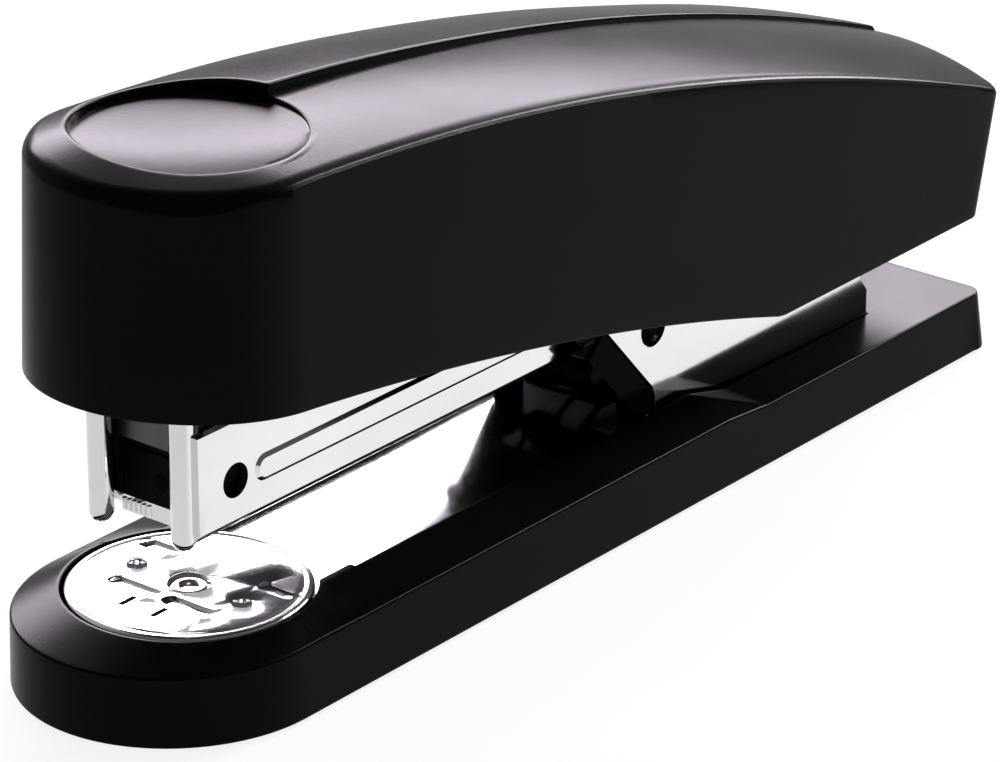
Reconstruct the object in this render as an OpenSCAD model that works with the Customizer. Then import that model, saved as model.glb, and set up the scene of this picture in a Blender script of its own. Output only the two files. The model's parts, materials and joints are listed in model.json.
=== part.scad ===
// Desk stapler: plastic base with a turning anvil, steel magazine, and a hollow cover that is the handle.
// X runs from the anvil end (-X) to the hinge end (+X), Y across, Z up, in millimetres.
// The origin is the middle of the sole's underside. Lengths named *_s are stations along X,
// counted from the centre of the base's round front end.

/* [Base] */
// Length of the base along its deck
base_l = 148.6; // [146:0.2:156]
// Width of the base at its deck, which is also the diameter of its round front
base_w = 36; // [35:0.5:40]
// How far the base's walls flare out towards the table
base_draft = 0.4; // [0.2:0.1:0.8]
// How far the base's rear face flares out towards the table
rear_draft = 1.2; // [0.4:0.1:1.4]
// Height of the outer edge along the raised front part
side_h = 8.7; // [8.5:0.1:9.2]
// Height of the flat deck behind the raised part
deck_h = 8.1; // [8:0.05:8.4]
// Height of the inner edge of the raised part
rim_h = 10.4; // [10:0.1:11]
// Station where the raised part has come down to the deck
raised_end_s = 84; // [80:0.5:88]
// Length of the slope at the rear of the raised part
raised_run = 5.5; // [3:0.5:8]
// Thickness of the base's side walls
base_wall = 2.4; // [2:0.1:3]
// Thickness of the floor that the hinge frame lies on
deck_t = 2; // [1.6:0.1:2.2]
// Thickness of the cross ribs under the floor
rib_t = 1.6; // [1.2:0.1:2.4]
// Number of cross ribs under the floor
rib_n = 4; // [2:1:5]
// Rounding of the base's rear corners
base_corner_r = 2; // [1:0.5:3]
// Height of the base's lower edge above the table
base_lift = 0.4; // [0.2:0.1:0.8]
// Thickness of the rubber sole
sole_t = 1.4; // [1.2:0.1:1.8]
// Distance from the base's outer wall to the sole
sole_inset = 1.4; // [1:0.1:2]
// Station of the front rib under the floor
rib_front_s = 20.2; // [19:0.2:24]
// Station of the rear rib under the floor
rib_rear_s = 104.2; // [100:0.2:105]
// Width of the level ledge beside the hinge frame on the raised part
rim_side = 1; // [0.5:0.1:1.5]
// Width of the level ledge round the anvil's well
rim_edge = 0.4; // [0.2:0.1:0.8]
// Depth of the frame's plate below the deck
plate_drop = 0.1; // [0.05:0.05:0.3]

/* [Hinge frame] */
// Thickness of the frame's sheet steel
frame_t = 1; // [0.8:0.1:1.1]
// Width of the frame over its cheeks
frame_w = 22; // [21.6:0.2:23]
// How far the front of the frame's plate is narrower on each side
frame_neck = 0.8; // [0.4:0.1:1.2]
// Station where the frame's plate reaches its full width
neck_s = 21; // [18:0.5:26]
// Station of the rear end of the cheeks' feet
cheek_end_s = 115; // [112:0.5:116]
// Height of the cheeks' upper edge
cheek_h = 26; // [25:0.5:28]
// Height of the rear edge of the cheeks' feet
foot_h = 3.3; // [2:0.1:4]
// Length of the bevel above the feet
foot_cut = 1.6; // [1:0.1:2.4]
// Height of the bevel above the feet
foot_rise = 2.1; // [1:0.1:3]
// Length of the cheeks' front corner beyond the lift bracket's arms
cheek_front = 3; // [2:0.5:5]
// Radius of the round hole in each cheek
cheek_hole_r = 2.35; // [1.5:0.05:3]
// Distance of the cheek hole behind the lift bracket's pin
cheek_hole_back = 1.8; // [1.4:0.1:3]
// Height of the cheek hole
cheek_hole_z = 20.7; // [19:0.1:22]
// Distance from the main pivot back to the base's rear end
pivot_inset = 10.6; // [10:0.2:12]
// Height of the main pivot
pivot_z = 21; // [20.5:0.1:22]
// Radius of the main pivot pin
pin_r = 2; // [1.5:0.1:2.2]
// Thickness of the pivot pin's head and of its retaining ring
pin_head_t = 0.7; // [0.5:0.1:0.8]
// Radius of the pivot pin's head and of its retaining ring
pin_head_r = 3.3; // [3:0.1:4]
// Radius of the ears round the main pivot
ear_r = 5; // [4.2:0.1:5.4]
// Radius of the screws that hold the frame to the base
screw_r = 1.2; // [1:0.1:1.5]
// Radius of those screws' heads
screw_head_r = 2.4; // [2:0.1:2.8]
// Height of those screws' heads
screw_head_h = 1.5; // [1:0.1:1.8]
// Station of the front screw
screw_front_s = -6.6; // [-8:0.1:-5]
// Station of the middle screw
screw_mid_s = 80; // [78:1:86]
// Station of the rear screw
screw_rear_s = 108; // [106:0.5:109]
// Length of the pivot pin beyond its retaining ring
pin_stub = 0.3; // [0.1:0.1:0.5]
// Thickness of the small ears that hold the lift bracket's pin
ear_t = 0.8; // [0.6:0.1:1]
// Radius of those small ears
ear_round = 2.4; // [2:0.1:2.6]

/* [Anvil] */
// Station of the anvil's centre
anvil_s = 2.2; // [1.8:0.1:2.6]
// Radius of the anvil disc
anvil_r = 13.8; // [13:0.1:14]
// Gap round the anvil disc
anvil_gap = 0.4; // [0.3:0.1:0.8]
// Height of the anvil's face
anvil_h = 10.4; // [10:0.1:10.8]
// Sheet thickness of the anvil disc
anvil_t = 1; // [0.8:0.1:1.2]
// Depth of the staple grooves
groove_depth = 0.5; // [0.3:0.05:0.6]
// Width of the staple grooves
groove_w = 2; // [1.6:0.1:2.4]
// Length of each half of the closing groove
groove_l = 7.8; // [7:0.1:9]
// Distance of the closing groove from the anvil's centre
groove_off = 4.5; // [4:0.1:5]
// How far the two halves of the closing groove are offset from each other, each way
groove_shift = 0.3; // [0:0.1:0.5]
// Length of each opening groove
pin_groove_l = 6; // [5:0.1:6.5]
// Distance from the opening grooves' ends to the disc's edge
pin_groove_edge = 1; // [0.8:0.1:1.5]
// Length of the two small marks in front of the grooves
mark_l = 2.5; // [1.5:0.1:3]
// Width of those marks
mark_w = 0.5; // [0.3:0.1:0.8]
// Depth of those marks
mark_depth = 0.3; // [0.2:0.1:0.5]
// Distance of those marks from the centre line
mark_y = 2.3; // [1.5:0.1:3]
// Distance of those marks' middle in front of the anvil's centre
mark_off = 7.4; // [7:0.1:8.5]
// Bevel of the disc's edge
anvil_edge = 0.4; // [0.2:0.1:0.6]
// Radius of the two small index holes
index_r = 1.1; // [0.8:0.1:1.3]
// Distance of the index holes from the anvil's centre
index_off = 7.7; // [7:0.1:8.5]
// Outer radius of the hollow rivet's shank
rivet_r = 1.9; // [1.8:0.1:2]
// Radius of the rivet's bore
rivet_bore_r = 1.1; // [0.8:0.1:1.2]
// Radius of the rivet's shoulder
shoulder_r = 2.6; // [2.5:0.1:2.8]
// How far the anvil lifts before it can be turned
anvil_lift = 1.5; // [1.2:0.1:1.6]
// Radius of the push button under the anvil
button_r = 6; // [5.5:0.1:6.5]
// Height of the push button
button_h = 2.4; // [2.2:0.1:2.5]
// Height of the button's underside above the table
button_z = 1; // [0.8:0.1:1.2]
// Depth of the recess in the button's underside
button_recess = 1.2; // [1:0.1:1.4]
// Width of the rivet's two flanges beyond its shank
flange_out = 0.3; // [0.2:0.1:0.5]
// Thickness of the rivet's lower flange
flange_t = 0.7; // [0.5:0.1:0.8]
// Height of the rivet's head on the anvil's face
rivet_head_h = 0.2; // [0.1:0.05:0.3]
// Wire thickness of the anvil's spring
anvil_wire = 0.4; // [0.3:0.05:0.5]
// Turns of the anvil's spring
anvil_turns = 2; // [1:1:2]
// Distance from the rivet's shoulder to the anvil's spring
anvil_coil_gap = 1.6; // [1:0.1:2]

/* [Lift bracket] */
// Station of the lift bracket's pin
bracket_s = 69.5; // [68.5:0.5:70.5]
// Height of the lift bracket's pin
bracket_z = 11.7; // [11.5:0.1:11.9]
// Lean of the lift bracket's arms from the vertical
bracket_lean = 42; // [41:0.5:43]
// Length of the bracket's arms from the pin
bracket_l = 13.5; // [13:0.5:14]
// Half width of the bracket's arms
bracket_arm = 1.9; // [1.7:0.1:2]
// Sheet thickness of the bracket
bracket_t = 0.8; // [0.7:0.1:0.9]
// Distance along the arm where the web between the arms starts
web_start = 3.6; // [3:0.2:5]
// Distance along the arm of the lower stiffening bead
bead_low = 5.4; // [5:0.1:6]
// Distance along the arm of the upper stiffening bead
bead_high = 7.8; // [7.2:0.1:8.4]
// Radius of the stiffening beads
bead_r = 0.4; // [0.3:0.05:0.6]
// Distance from the web's sides to the ends of the beads
bead_inset = 3; // [2:0.5:5]
// Distance along the arm to the round lip that carries the magazine
lip_reach = 11; // [10.8:0.1:11.2]
// Radius of that lip
lip_r = 1.2; // [1:0.1:1.3]
// Distance of that lip's centre in front of the arms
lip_out = 0.18; // [0.1:0.02:0.3]
// Radius of the bracket's pin
bracket_pin_r = 1; // [0.8:0.1:1.1]
// Wire thickness of the lift spring
lift_wire = 0.7; // [0.5:0.05:0.8]
// Turns in each half of the lift spring
lift_turns = 4; // [3:1:5]
// Distance from the pin to the far end of the lift spring's lower legs
leg_l = 9; // [7:0.5:10]
// Distance from the pin to the bend of those legs
leg_bend = 3; // [2.5:0.1:4]
// Length of the lift spring's upper legs along the bracket's web
leg_reach = 8.5; // [7:0.5:10]
// Distance of the lift spring's coils from the centre line
coil_y = 2; // [1:0.5:3]
// Gap between the lift spring's turns
coil_gap = 0.15; // [0.1:0.05:0.3]

/* [Magazine] */
// Clearance between the magazine channel and the handle's arm on each side
mag_play = 0.4; // [0.3:0.05:0.5]
// Thickness of its sheet steel
mag_t = 1; // [0.9:0.05:1.05]
// Height of its underside
mag_z = 20; // [19.8:0.1:20.2]
// Height of its upper edge
mag_top = 32.2; // [32:0.1:33]
// Station of the rear end of the channel's floor
mag_end_s = 62; // [61:0.5:64]
// Radius of the rolled front pillars
pillar_r = 1.4; // [1.3:0.05:1.5]
// Distance of each pillar's axis from the channel's outer face
pillar_side = 2; // [1.8:0.05:2.1]
// Distance of the side walls' front edge behind the pillars' axes
pillar_neck = 0.3; // [0.2:0.05:0.5]
// Height of the pillars above the side walls
pillar_rise = 2.5; // [1:0.1:3]
// Station of the pillars' axes
pillar_s = -4.9; // [-5.2:0.1:-4.6]
// How far the pillars' round tips reach below the channel
pillar_tip = 1.2; // [0.8:0.1:1.3]
// How far the front edge of the floor is bent down
floor_bend = 0.9; // [0.5:0.1:1]
// Radius of the round hole in each side
side_hole_r = 2; // [1:0.1:2.4]
// Station of that hole
side_hole_s = 1.3; // [1:0.1:2]
// Height of that hole above the channel's underside
side_hole_up = 5.4; // [5:0.1:6]
// Width of the long pressed groove in each side
press_w = 3.2; // [2.4:0.1:4]
// Depth of that groove
press_depth = 0.35; // [0.2:0.05:0.5]
// Station of the groove's round front end
press_s = 6; // [5.5:0.1:8]
// Distance from the groove's rear end to the rear end of the channel's floor
press_end = 6; // [5:0.5:8]
// Room for the staples' legs on each side of the staple rail
leg_room = 1.6; // [1.4:0.05:1.8]
// Height of the rail above the channel's floor
rail_h = 6; // [5.8:0.1:6.2]
// Thickness of the rail's sheet
rail_t = 0.8; // [0.7:0.05:0.9]
// Width of the slot along the top of the rail
rail_slot = 3.2; // [3:0.1:3.6]
// Radius of the rivets that hold the rail
rail_rivet_r = 1.2; // [0.8:0.1:1.4]
// Distance of the front rivet behind the rail's front face
rail_rivet_front = 9; // [7:0.5:12]
// Distance of the rear rivet from the rear end of the channel's floor
rail_rivet_rear = 6; // [5:0.5:10]
// Height of the guide rod's axis above the channel's floor
rod_up = 2.9; // [2.8:0.05:3]
// Thickness of the pusher's eye round the rod
eye_t = 1.1; // [0.9:0.1:1.2]
// Height of the pusher above the rail
pusher_rise = 1.5; // [1.2:0.1:1.8]
// Thickness of the pusher's key above the rail's top sheet
key_rise = 1; // [0.8:0.1:1.1]
// Room left in the rail's slot behind the pusher at the end of its travel
slot_spare = 2; // [1:0.5:3]
// Travel of the staple pusher, the length of a full staple strip
pusher_travel = 50; // [40:1:51]
// Length of the pusher
pusher_l = 10; // [8:0.5:11]
// Radius of the pusher's guide rod
rod_r = 1; // [0.8:0.1:1.1]
// Station of the rod's rear support
rod_end_s = 99; // [97:0.5:100]
// Wire thickness of the pusher spring
pusher_wire = 0.5; // [0.4:0.05:0.6]
// Turns of the pusher spring
pusher_turns = 26; // [20:1:28]
// Distance from the rod to the pusher spring
rod_coil_gap = 0.35; // [0.2:0.05:0.5]
// Depth of the notch behind the channel's floor
notch_l = 2; // [1:0.2:3]
// Length of that notch's lower bevel
notch_cut = 1.4; // [0.8:0.1:2]
// Height of that notch's lower bevel
notch_low = 1.8; // [1:0.1:2.5]
// Height of that notch
notch_h = 4; // [3:0.2:5]
// Distance in front of the pivot where the walls' lower edge meets the ear
ear_run = 3; // [2:0.2:4]
// Distance behind the return spring where the walls' upper edge starts to fall
top_run = 12; // [8:1:16]
// Length of the bridge that carries the return spring
bridge_l = 12; // [10:0.5:14]

/* [Handle] */
// Sheet thickness of the handle's steel arm
arm_t = 1; // [0.8:0.05:1.1]
// Turn of the handle from its upper rest to the end of the stroke
stroke_deg = 4.4; // [4.2:0.05:4.5]
// Height of the arm above the magazine when pressed down
arm_rise = 7.5; // [7:0.1:8]
// Depth of the arm's side walls
arm_side_h = 7; // [6:0.2:7.4]
// Station where the arm's web ends
arm_web_s = 84; // [82:1:88]
// Clearance between the arm's walls and the frame's cheeks
arm_play = 0.6; // [0.5:0.05:0.8]
// Distance in front of the pivot where the arm's tail starts to widen into its ear
tail_run = 4; // [3:0.5:6]
// Height of the arm's tail above its ear
tail_rise = 1; // [0.5:0.1:1.5]
// Depth of the arm's tail below the pivot
tail_drop = 3; // [2:0.2:4]
// Distance in front of the web's end where the walls' lower edge bends
arm_bend = 20; // [16:1:24]
// Height of the stud inside the return spring
stud_h = 2.4; // [2:0.1:3]
// Distance from the stud to the return spring's wire
stud_gap = 0.4; // [0.3:0.05:0.6]
// Thickness of the driver blade
blade_t = 0.8; // [0.6:0.05:0.9]
// Distance from the channel's walls to the driver blade on each side
blade_side = 0.6; // [0.5:0.05:0.8]
// Distance from the arm's top down to the blade's upper edge
blade_drop = 0.5; // [0.3:0.1:1]
// Radius of the blade's rivets
blade_rivet_r = 1.2; // [0.8:0.1:1.4]
// Distance between the blade's rivets
blade_rivet_gap = 7; // [5:0.5:8]
// Width of the blade rivets' heads beyond their shanks
blade_head_out = 0.6; // [0.4:0.1:0.8]
// Thickness of the blade rivets' heads
blade_head_t = 0.5; // [0.3:0.05:0.5]
// Station of the handle's return spring
return_s = 76; // [75:0.5:77]
// Radius of the return spring to its wire's centre
return_r = 3.8; // [3.5:0.1:4.2]
// Wire thickness of the return spring
return_wire = 0.9; // [0.7:0.05:1]
// Turns of the return spring
return_turns = 4; // [3:1:5]
// Distance of the return spring's axis in front of its station when at rest
return_lead = 0.6; // [0.2:0.1:1]
// Clearance between the return spring's upper end and the arm
return_play = 0.6; // [0.5:0.05:0.8]

/* [Cover] */
// Width of the cover at its lower edge
cover_w = 35.2; // [34:0.2:36]
// How much narrower each side is at the top
cover_draft = 0.7; // [0.2:0.1:0.9]
// Wall thickness of the cover
cover_wall = 2; // [1.6:0.1:2.2]
// Station of the centre of the cover's round front
cover_s = 2.2; // [1.8:0.1:2.6]
// Greatest height of the cover's top curve
cover_top = 65.4; // [64:0.2:67]
// How much higher the top is along its middle than along its edges
crown = 2.8; // [1.5:0.1:3]
// Radius of the cover's top curve
top_r = 430; // [400:5:460]
// Station where the top curve is highest
crown_s = -18; // [-24:1:-14]
// Height of the arch of the lower edge at its highest
arch_z = 38.6; // [38:0.1:39]
// Radius of the arch of the lower edge
arch_r = 487; // [470:1:500]
// Station where the arch is highest
arch_s = -51.2; // [-54:0.2:-50]
// Height of the straight lower edge at the tail
tail_z = 18.3; // [18:0.1:19]
// Lean of the rear face, from its lower to its upper edge
tail_lean = 4.8; // [2:0.2:5]
// Height of the upper edge of the rear face
tail_top = 33.6; // [31:0.2:34]
// Station of the rear face's lower edge, counted back from the main pivot
tail_back = 10; // [9.6:0.1:10.2]
// Size of the bevel along the top edge
edge_r = 1.6; // [1:0.1:2.5]
// Rounding of the cover's rear corners
cover_corner_r = 2; // [1:0.5:3]
// Radius of the thumb dish
dish_r = 12.5; // [12:0.1:13]
// Depth of the thumb dish's floor below the highest point of the top
dish_depth = 3.4; // [3:0.1:3.8]
// Station of the thumb dish's centre
dish_s = 4.3; // [4:0.1:5]
// Depth of the step from the far half of the top to the near half
step_depth = 1; // [0.4:0.1:1.2]
// How far the step line has moved off the middle at the rear end
step_shift = 2.4; // [0:0.2:4]
// Radius of the posts that hold the cover to the arm
post_r = 3; // [2.6:0.1:3.4]
// Station of the front post
post_front_s = 24; // [22:0.5:28]
// Station of the rear post
post_rear_s = 56; // [50:0.5:60]
// Radius of the posts' stubs in the arm
stub_r = 1.6; // [1.2:0.1:1.8]
// Radius of the push-on clips
clip_r = 4; // [3.4:0.1:4.4]
// Thickness of the push-on clips
clip_t = 0.6; // [0.5:0.1:0.8]
// Length of the stubs beyond the clips
stub_end = 0.6; // [0.4:0.1:1]
// Width of each soft step of the ramp in front of the thumb dish
ramp_run = 2.5; // [2:0.1:3]

/* [Fits] */
// Clearance between pieces that move past each other
gap = 0.3; // [0.25:0.05:0.35]
// Radial clearance of a running fit
run_gap = 0.05; // [0.03:0.01:0.08]

/* [Hidden] */
$fn = 64;
fine = 96;
hull_fn = 32;
big_fn = 720;
wire_sides = 6;
turn_steps = 12;
eps = 0.01;
far = 400;

// Places shared by several pieces
base_r = base_w / 2;
front_x = base_r - base_l / 2;
base_rear_s = base_l - base_r;
pivot_s = base_rear_s - pivot_inset;
frame_z = deck_h - plate_drop - frame_t;
plate_top = frame_z + frame_t;
deck_under = frame_z - deck_t;
recess_side = 0.2;
slice_t = 1;
min_corner = 0.5;
through = 20;
button_top = button_z + button_h;
anvil_pocket_z = button_top + anvil_lift + anvil_turns * anvil_wire + gap;
flange_y = frame_w / 2;
ear_y = flange_y - bracket_t - 2 * gap;
lip_side = bracket_arm + lip_out;
arm_w = frame_w - 2 * (frame_t + arm_play);
mag_w = arm_w - 2 * (arm_t + mag_play);
rail_w = mag_w - 2 * (mag_t + leg_room);
blade_w = mag_w - 2 * (mag_t + blade_side);
pillar_y = mag_w / 2 - pillar_side;
floor_top = mag_z + mag_t;
rail_top = floor_top + rail_h;
slot_front_s = pillar_s + pillar_r;
blade_s = slot_front_s + gap + run_gap;
rail_s = blade_s + blade_t + 2 * gap;
rod_z = floor_top + rod_up;
slot_end_s = rail_s + pusher_l + pusher_travel + slot_spare;
pusher_eye_r = rod_r + eye_t;
blade_low = mag_z - pillar_tip + gap;
arm_top = mag_top + arm_rise;
arm_front_s = blade_s + blade_t;
cover_r = cover_w / 2;
cover_rear_s = pivot_s + tail_back;
post_stations = [post_front_s, post_rear_s];
screw_stations = [screw_front_s, screw_mid_s, screw_rear_s];
rail_rivet_stations = [rail_s + rail_rivet_front, mag_end_s - rail_rivet_rear];
crown_steps = 4;
ramp_steps = 3;

// Height of the cover's top curve at a station, lowered by a distance
function top_z(s, down) = cover_top - top_r + sqrt(pow(top_r - down, 2) - pow(s - crown_s, 2));
// A point of the handle at its upper rest, from its place at the end of the stroke
function raised(s, z) = [pivot_s + (s - pivot_s) * cos(stroke_deg) + (z - pivot_z) * sin(stroke_deg),
    pivot_z - (s - pivot_s) * sin(stroke_deg) + (z - pivot_z) * cos(stroke_deg)];
// A point on the lift bracket, along its arm and towards its front face
function on_bracket(along, front) = [bracket_s - along * sin(bracket_lean) - front * cos(bracket_lean),
    bracket_z + along * cos(bracket_lean) - front * sin(bracket_lean)];

// Moves a piece drawn in stations into the part's frame
module from_front() { translate([front_x, 0, 0]) children(); }

// Draws its children on both sides of the centre line
module both_sides() {
    children();
    mirror([0, 1, 0]) children();
}

// A side view as a sheet whose outer face lies at a distance from the centre line
module side_sheet(outer, t) {
    translate([0, t - outer, 0]) rotate([90, 0, 0]) linear_extrude(t) children();
}

// A round bar or hole across the stapler
module cross_bar(s, z, r, w) {
    translate([s, 0, z]) rotate([90, 0, 0]) cylinder(r = r, h = w, center = true);
}

// A round bar or hole along the stapler
module long_bar(s, y, z, r, l) {
    translate([s, y, z]) rotate([0, 90, 0]) cylinder(r = r, h = l);
}

// An upright round bar or hole
module post(s, y, z, r, h) { translate([s, y, z]) cylinder(r = r, h = h); }

// A block between two stations and two heights, centred across
module block(s0, s1, w, z0, z1) { translate([s0, -w / 2, z0]) cube([s1 - s0, w, z1 - z0]); }

// Turns a piece of the handle from the end of its stroke to its upper rest
module at_rest() {
    translate([pivot_s, 0, pivot_z]) rotate([0, stroke_deg, 0]) translate([-pivot_s, 0, -pivot_z])
        children();
}

// A round wire along a list of points
module wire(path, d) {
    n = len(path);
    m = wire_sides;
    dirs = [for (i = [0:n - 1]) let (v = path[min(i + 1, n - 1)] - path[max(i - 1, 0)]) v / norm(v)];
    rings = [for (i = [0:n - 1])
        let (a = cross(dirs[i], [0.123, 0.456, 0.881]), u = a / norm(a), w = cross(dirs[i], u))
        for (k = [0:m - 1]) path[i] + d / 2 * (u * cos(360 * k / m) + w * sin(360 * k / m))];
    sides = [for (i = [0:n - 2]) for (k = [0:m - 1]) let (a = i * m + k, b = i * m + (k + 1) % m)
        each [[a, b, b + m], [a, b + m, a + m]]];
    ends = [[for (k = [m - 1:-1:0]) k], [for (k = [0:m - 1]) (n - 1) * m + k]];
    polyhedron(rings, concat(sides, ends), convexity = 10);
}

// Points of a coil about the Z axis
function coil(r, turns, h) = [for (i = [0:turns * turn_steps])
    [r * cos(360 * i / turn_steps), r * sin(360 * i / turn_steps), h * i / (turns * turn_steps)]];

// Outline of the base in plan, shrunk by a distance
module base_plan(inset, rear_s) {
    corner = max(base_corner_r - inset, min_corner);
    circle(r = base_r - inset, $fn = fine);
    difference() {
        translate([0, inset - base_r]) square([rear_s - inset, base_w - 2 * inset]);
        for (m = [0, 1]) mirror([0, m]) translate([rear_s - inset - corner, base_r - inset - corner])
            difference() {
                square(corner + eps);
                circle(r = corner, $fn = fine);
            }
    }
}

// The raised front part of the base, with its sloping shoulder
module raised_part() {
    inner_r = anvil_r + anvil_gap + rim_edge;
    hull() {
        translate([0, 0, side_h - slice_t]) cylinder(r = base_r, h = slice_t, $fn = fine);
        block(0, raised_end_s - raised_run, base_w, side_h - slice_t, side_h);
        block(0, raised_end_s, base_w, deck_h - slice_t, deck_h);
        translate([anvil_s, 0, rim_h - slice_t]) cylinder(r = inner_r, h = slice_t, $fn = fine);
        block(anvil_s, raised_end_s - raised_run, frame_w + 2 * rim_side, rim_h - slice_t, rim_h);
    }
}

module base_shell() color("#1b1a1d") from_front() difference() {
    union() {
        hull() {
            translate([0, 0, base_lift]) linear_extrude(eps)
                base_plan(-base_draft, base_rear_s + rear_draft - base_draft);
            translate([0, 0, deck_h - eps]) linear_extrude(eps) base_plan(0, base_rear_s);
        }
        raised_part();
    }
    // hollow underneath, with cross ribs left in it
    difference() {
        translate([0, 0, base_lift - eps]) linear_extrude(deck_under - base_lift + eps)
            base_plan(base_wall, base_rear_s);
        for (i = [1:rib_n]) let (s = rib_front_s + (i - 1) * (rib_rear_s - rib_front_s) / (rib_n - 1))
            block(s - rib_t / 2, s + rib_t / 2, base_w, sole_t, deck_under + eps);
    }
    // seat of the sole
    translate([0, 0, -eps]) linear_extrude(sole_t + eps) base_plan(sole_inset, base_rear_s);
    // seat of the hinge frame and well of the anvil
    post(anvil_s, 0, frame_z, anvil_r + anvil_gap, far);
    block(anvil_s, neck_s, frame_w - 2 * frame_neck + 2 * recess_side, frame_z, far);
    block(neck_s, cheek_end_s + recess_side, frame_w + 2 * recess_side, frame_z, far);
    // room for the anvil's shank, spring and button
    post(anvil_s, 0, 0, shoulder_r + gap, far);
    post(anvil_s, 0, 0, button_r + gap, anvil_pocket_z);
    for (s = screw_stations) post(s, 0, 0, screw_r, far);
}

module base_sole() color("#232326") from_front() difference() {
    linear_extrude(sole_t) base_plan(sole_inset + run_gap, base_rear_s);
    post(anvil_s, 0, -eps, button_r + 2 * gap, far);
}

// Side view of the frame's cheek
module cheek_outline() {
    back = bracket_arm + gap + 2 * run_gap;
    low = on_bracket(0, -back);
    high = on_bracket(bracket_l, -back);
    foot_s = bracket_s + back;
    difference() {
        union() {
            polygon([[foot_s, frame_z], [cheek_end_s, frame_z], [cheek_end_s, plate_top + foot_h],
                [cheek_end_s - foot_cut, plate_top + foot_h + foot_rise],
                [pivot_s - ear_r * cos(45), pivot_z - ear_r * sin(45)], [pivot_s, pivot_z],
                [pivot_s, cheek_h], [high[0] + cheek_front, cheek_h], high, low, [foot_s, bracket_z]]);
            translate([pivot_s, pivot_z]) circle(r = ear_r);
        }
        translate([bracket_s + cheek_hole_back, cheek_hole_z]) circle(r = cheek_hole_r);
        translate([pivot_s, pivot_z]) circle(r = pin_r);
    }
}

module hinge_frame() color("#c9ccd2") from_front() difference() {
    union() {
        intersection() {
            post(anvil_s, 0, frame_z, anvil_r - anvil_t - gap, frame_t);
            block(-far, anvil_s, frame_w - 2 * frame_neck, frame_z, plate_top);
        }
        block(anvil_s, neck_s, frame_w - 2 * frame_neck, frame_z, plate_top);
        block(neck_s, cheek_end_s, frame_w, frame_z, plate_top);
        both_sides() side_sheet(flange_y, frame_t) cheek_outline();
        // small ears that hold the bracket's pin
        both_sides() side_sheet(ear_y, ear_t) {
            translate([bracket_s, bracket_z]) circle(r = ear_round);
            translate([bracket_s - ear_round, frame_z]) square([2 * ear_round, bracket_z - frame_z]);
        }
    }
    cross_bar(bracket_s, bracket_z, bracket_pin_r, frame_w);
    post(anvil_s, 0, 0, shoulder_r + gap, far);
    for (s = screw_stations) post(s, 0, 0, screw_r, far);
}

module frame_screws() color("#a9acb2") from_front() for (s = screw_stations) {
    post(s, 0, deck_under - screw_head_h, screw_head_r, screw_head_h);
    post(s, 0, deck_under - eps, screw_r, plate_top - deck_under + eps);
}

module pivot_pin() color("#b4b7bd") from_front() {
    cross_bar(pivot_s, pivot_z, pin_r, frame_w + 2 * (pin_head_t + pin_stub));
    translate([pivot_s, -flange_y, pivot_z]) rotate([90, 0, 0]) cylinder(r = pin_head_r, h = pin_head_t);
}

module pivot_ring() color("#8f9298") from_front()
    translate([pivot_s, flange_y + pin_head_t, pivot_z]) rotate([90, 0, 0]) difference() {
        cylinder(r = pin_head_r, h = pin_head_t);
        translate([0, 0, -1]) cylinder(r = pin_r, h = pin_head_t + 2);
    }

module bracket_pin() color("#b4b7bd") from_front()
    cross_bar(bracket_s, bracket_z, bracket_pin_r, frame_w);

module lift_spring() color("#9da0a6") from_front() {
    r = bracket_pin_r + gap + lift_wire / 2;
    steps = lift_turns * turn_steps;
    outer_y = coil_y + (lift_wire + coil_gap) * lift_turns;
    leg_z = plate_top + lift_wire / 2 + run_gap;
    // the upper leg lies just behind the bracket's web
    lead = bracket_arm - bracket_t - lift_wire / 2 - run_gap;
    tip = on_bracket(leg_reach, lead);
    start = 250;
    swing = 360 * lift_turns + start - 90 - bracket_lean - asin(lead / r);
    both_sides() wire(concat(
        [[bracket_s + leg_l, -coil_y, leg_z], [bracket_s + leg_bend, -coil_y, leg_z]],
        [for (i = [0:steps]) let (a = start - swing * i / steps)
            [bracket_s + r * cos(a), -coil_y - (outer_y - coil_y) * i / steps, bracket_z + r * sin(a)]],
        [[tip[0], -outer_y, tip[1]]]), lift_wire);
}

module lift_bracket() color("#141416") from_front() difference() {
    lip = on_bracket(lip_reach, lip_side);
    union() {
        both_sides() side_sheet(flange_y, bracket_t) {
            translate([bracket_s, bracket_z]) circle(r = bracket_arm);
            polygon([on_bracket(0, -bracket_arm), on_bracket(bracket_l, -bracket_arm),
                on_bracket(bracket_l, bracket_arm), on_bracket(0, bracket_arm)]);
        }
        translate([0, flange_y, 0]) rotate([90, 0, 0]) linear_extrude(frame_w)
            polygon([on_bracket(web_start, bracket_arm - bracket_t),
                on_bracket(lip_reach, bracket_arm - bracket_t), on_bracket(lip_reach, bracket_arm),
                on_bracket(web_start, bracket_arm)]);
        cross_bar(lip[0], lip[1], lip_r, frame_w);
        for (along = [bead_low, bead_high]) let (at = on_bracket(along, bracket_arm))
            cross_bar(at[0], at[1], bead_r, frame_w - 2 * bead_inset);
    }
    cross_bar(bracket_s, bracket_z, bracket_pin_r + run_gap, far);
}

// A groove in the anvil's face, drawn along Y
module groove(s, y, l, w, depth) {
    translate([s, y, anvil_h - depth]) {
        translate([-w / 2, -l / 2 + w / 2, 0]) cube([w, l - w, far]);
        for (m = [-1, 1]) translate([0, m * (l - w) / 2, 0]) cylinder(r = w / 2, h = far);
    }
}

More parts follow.
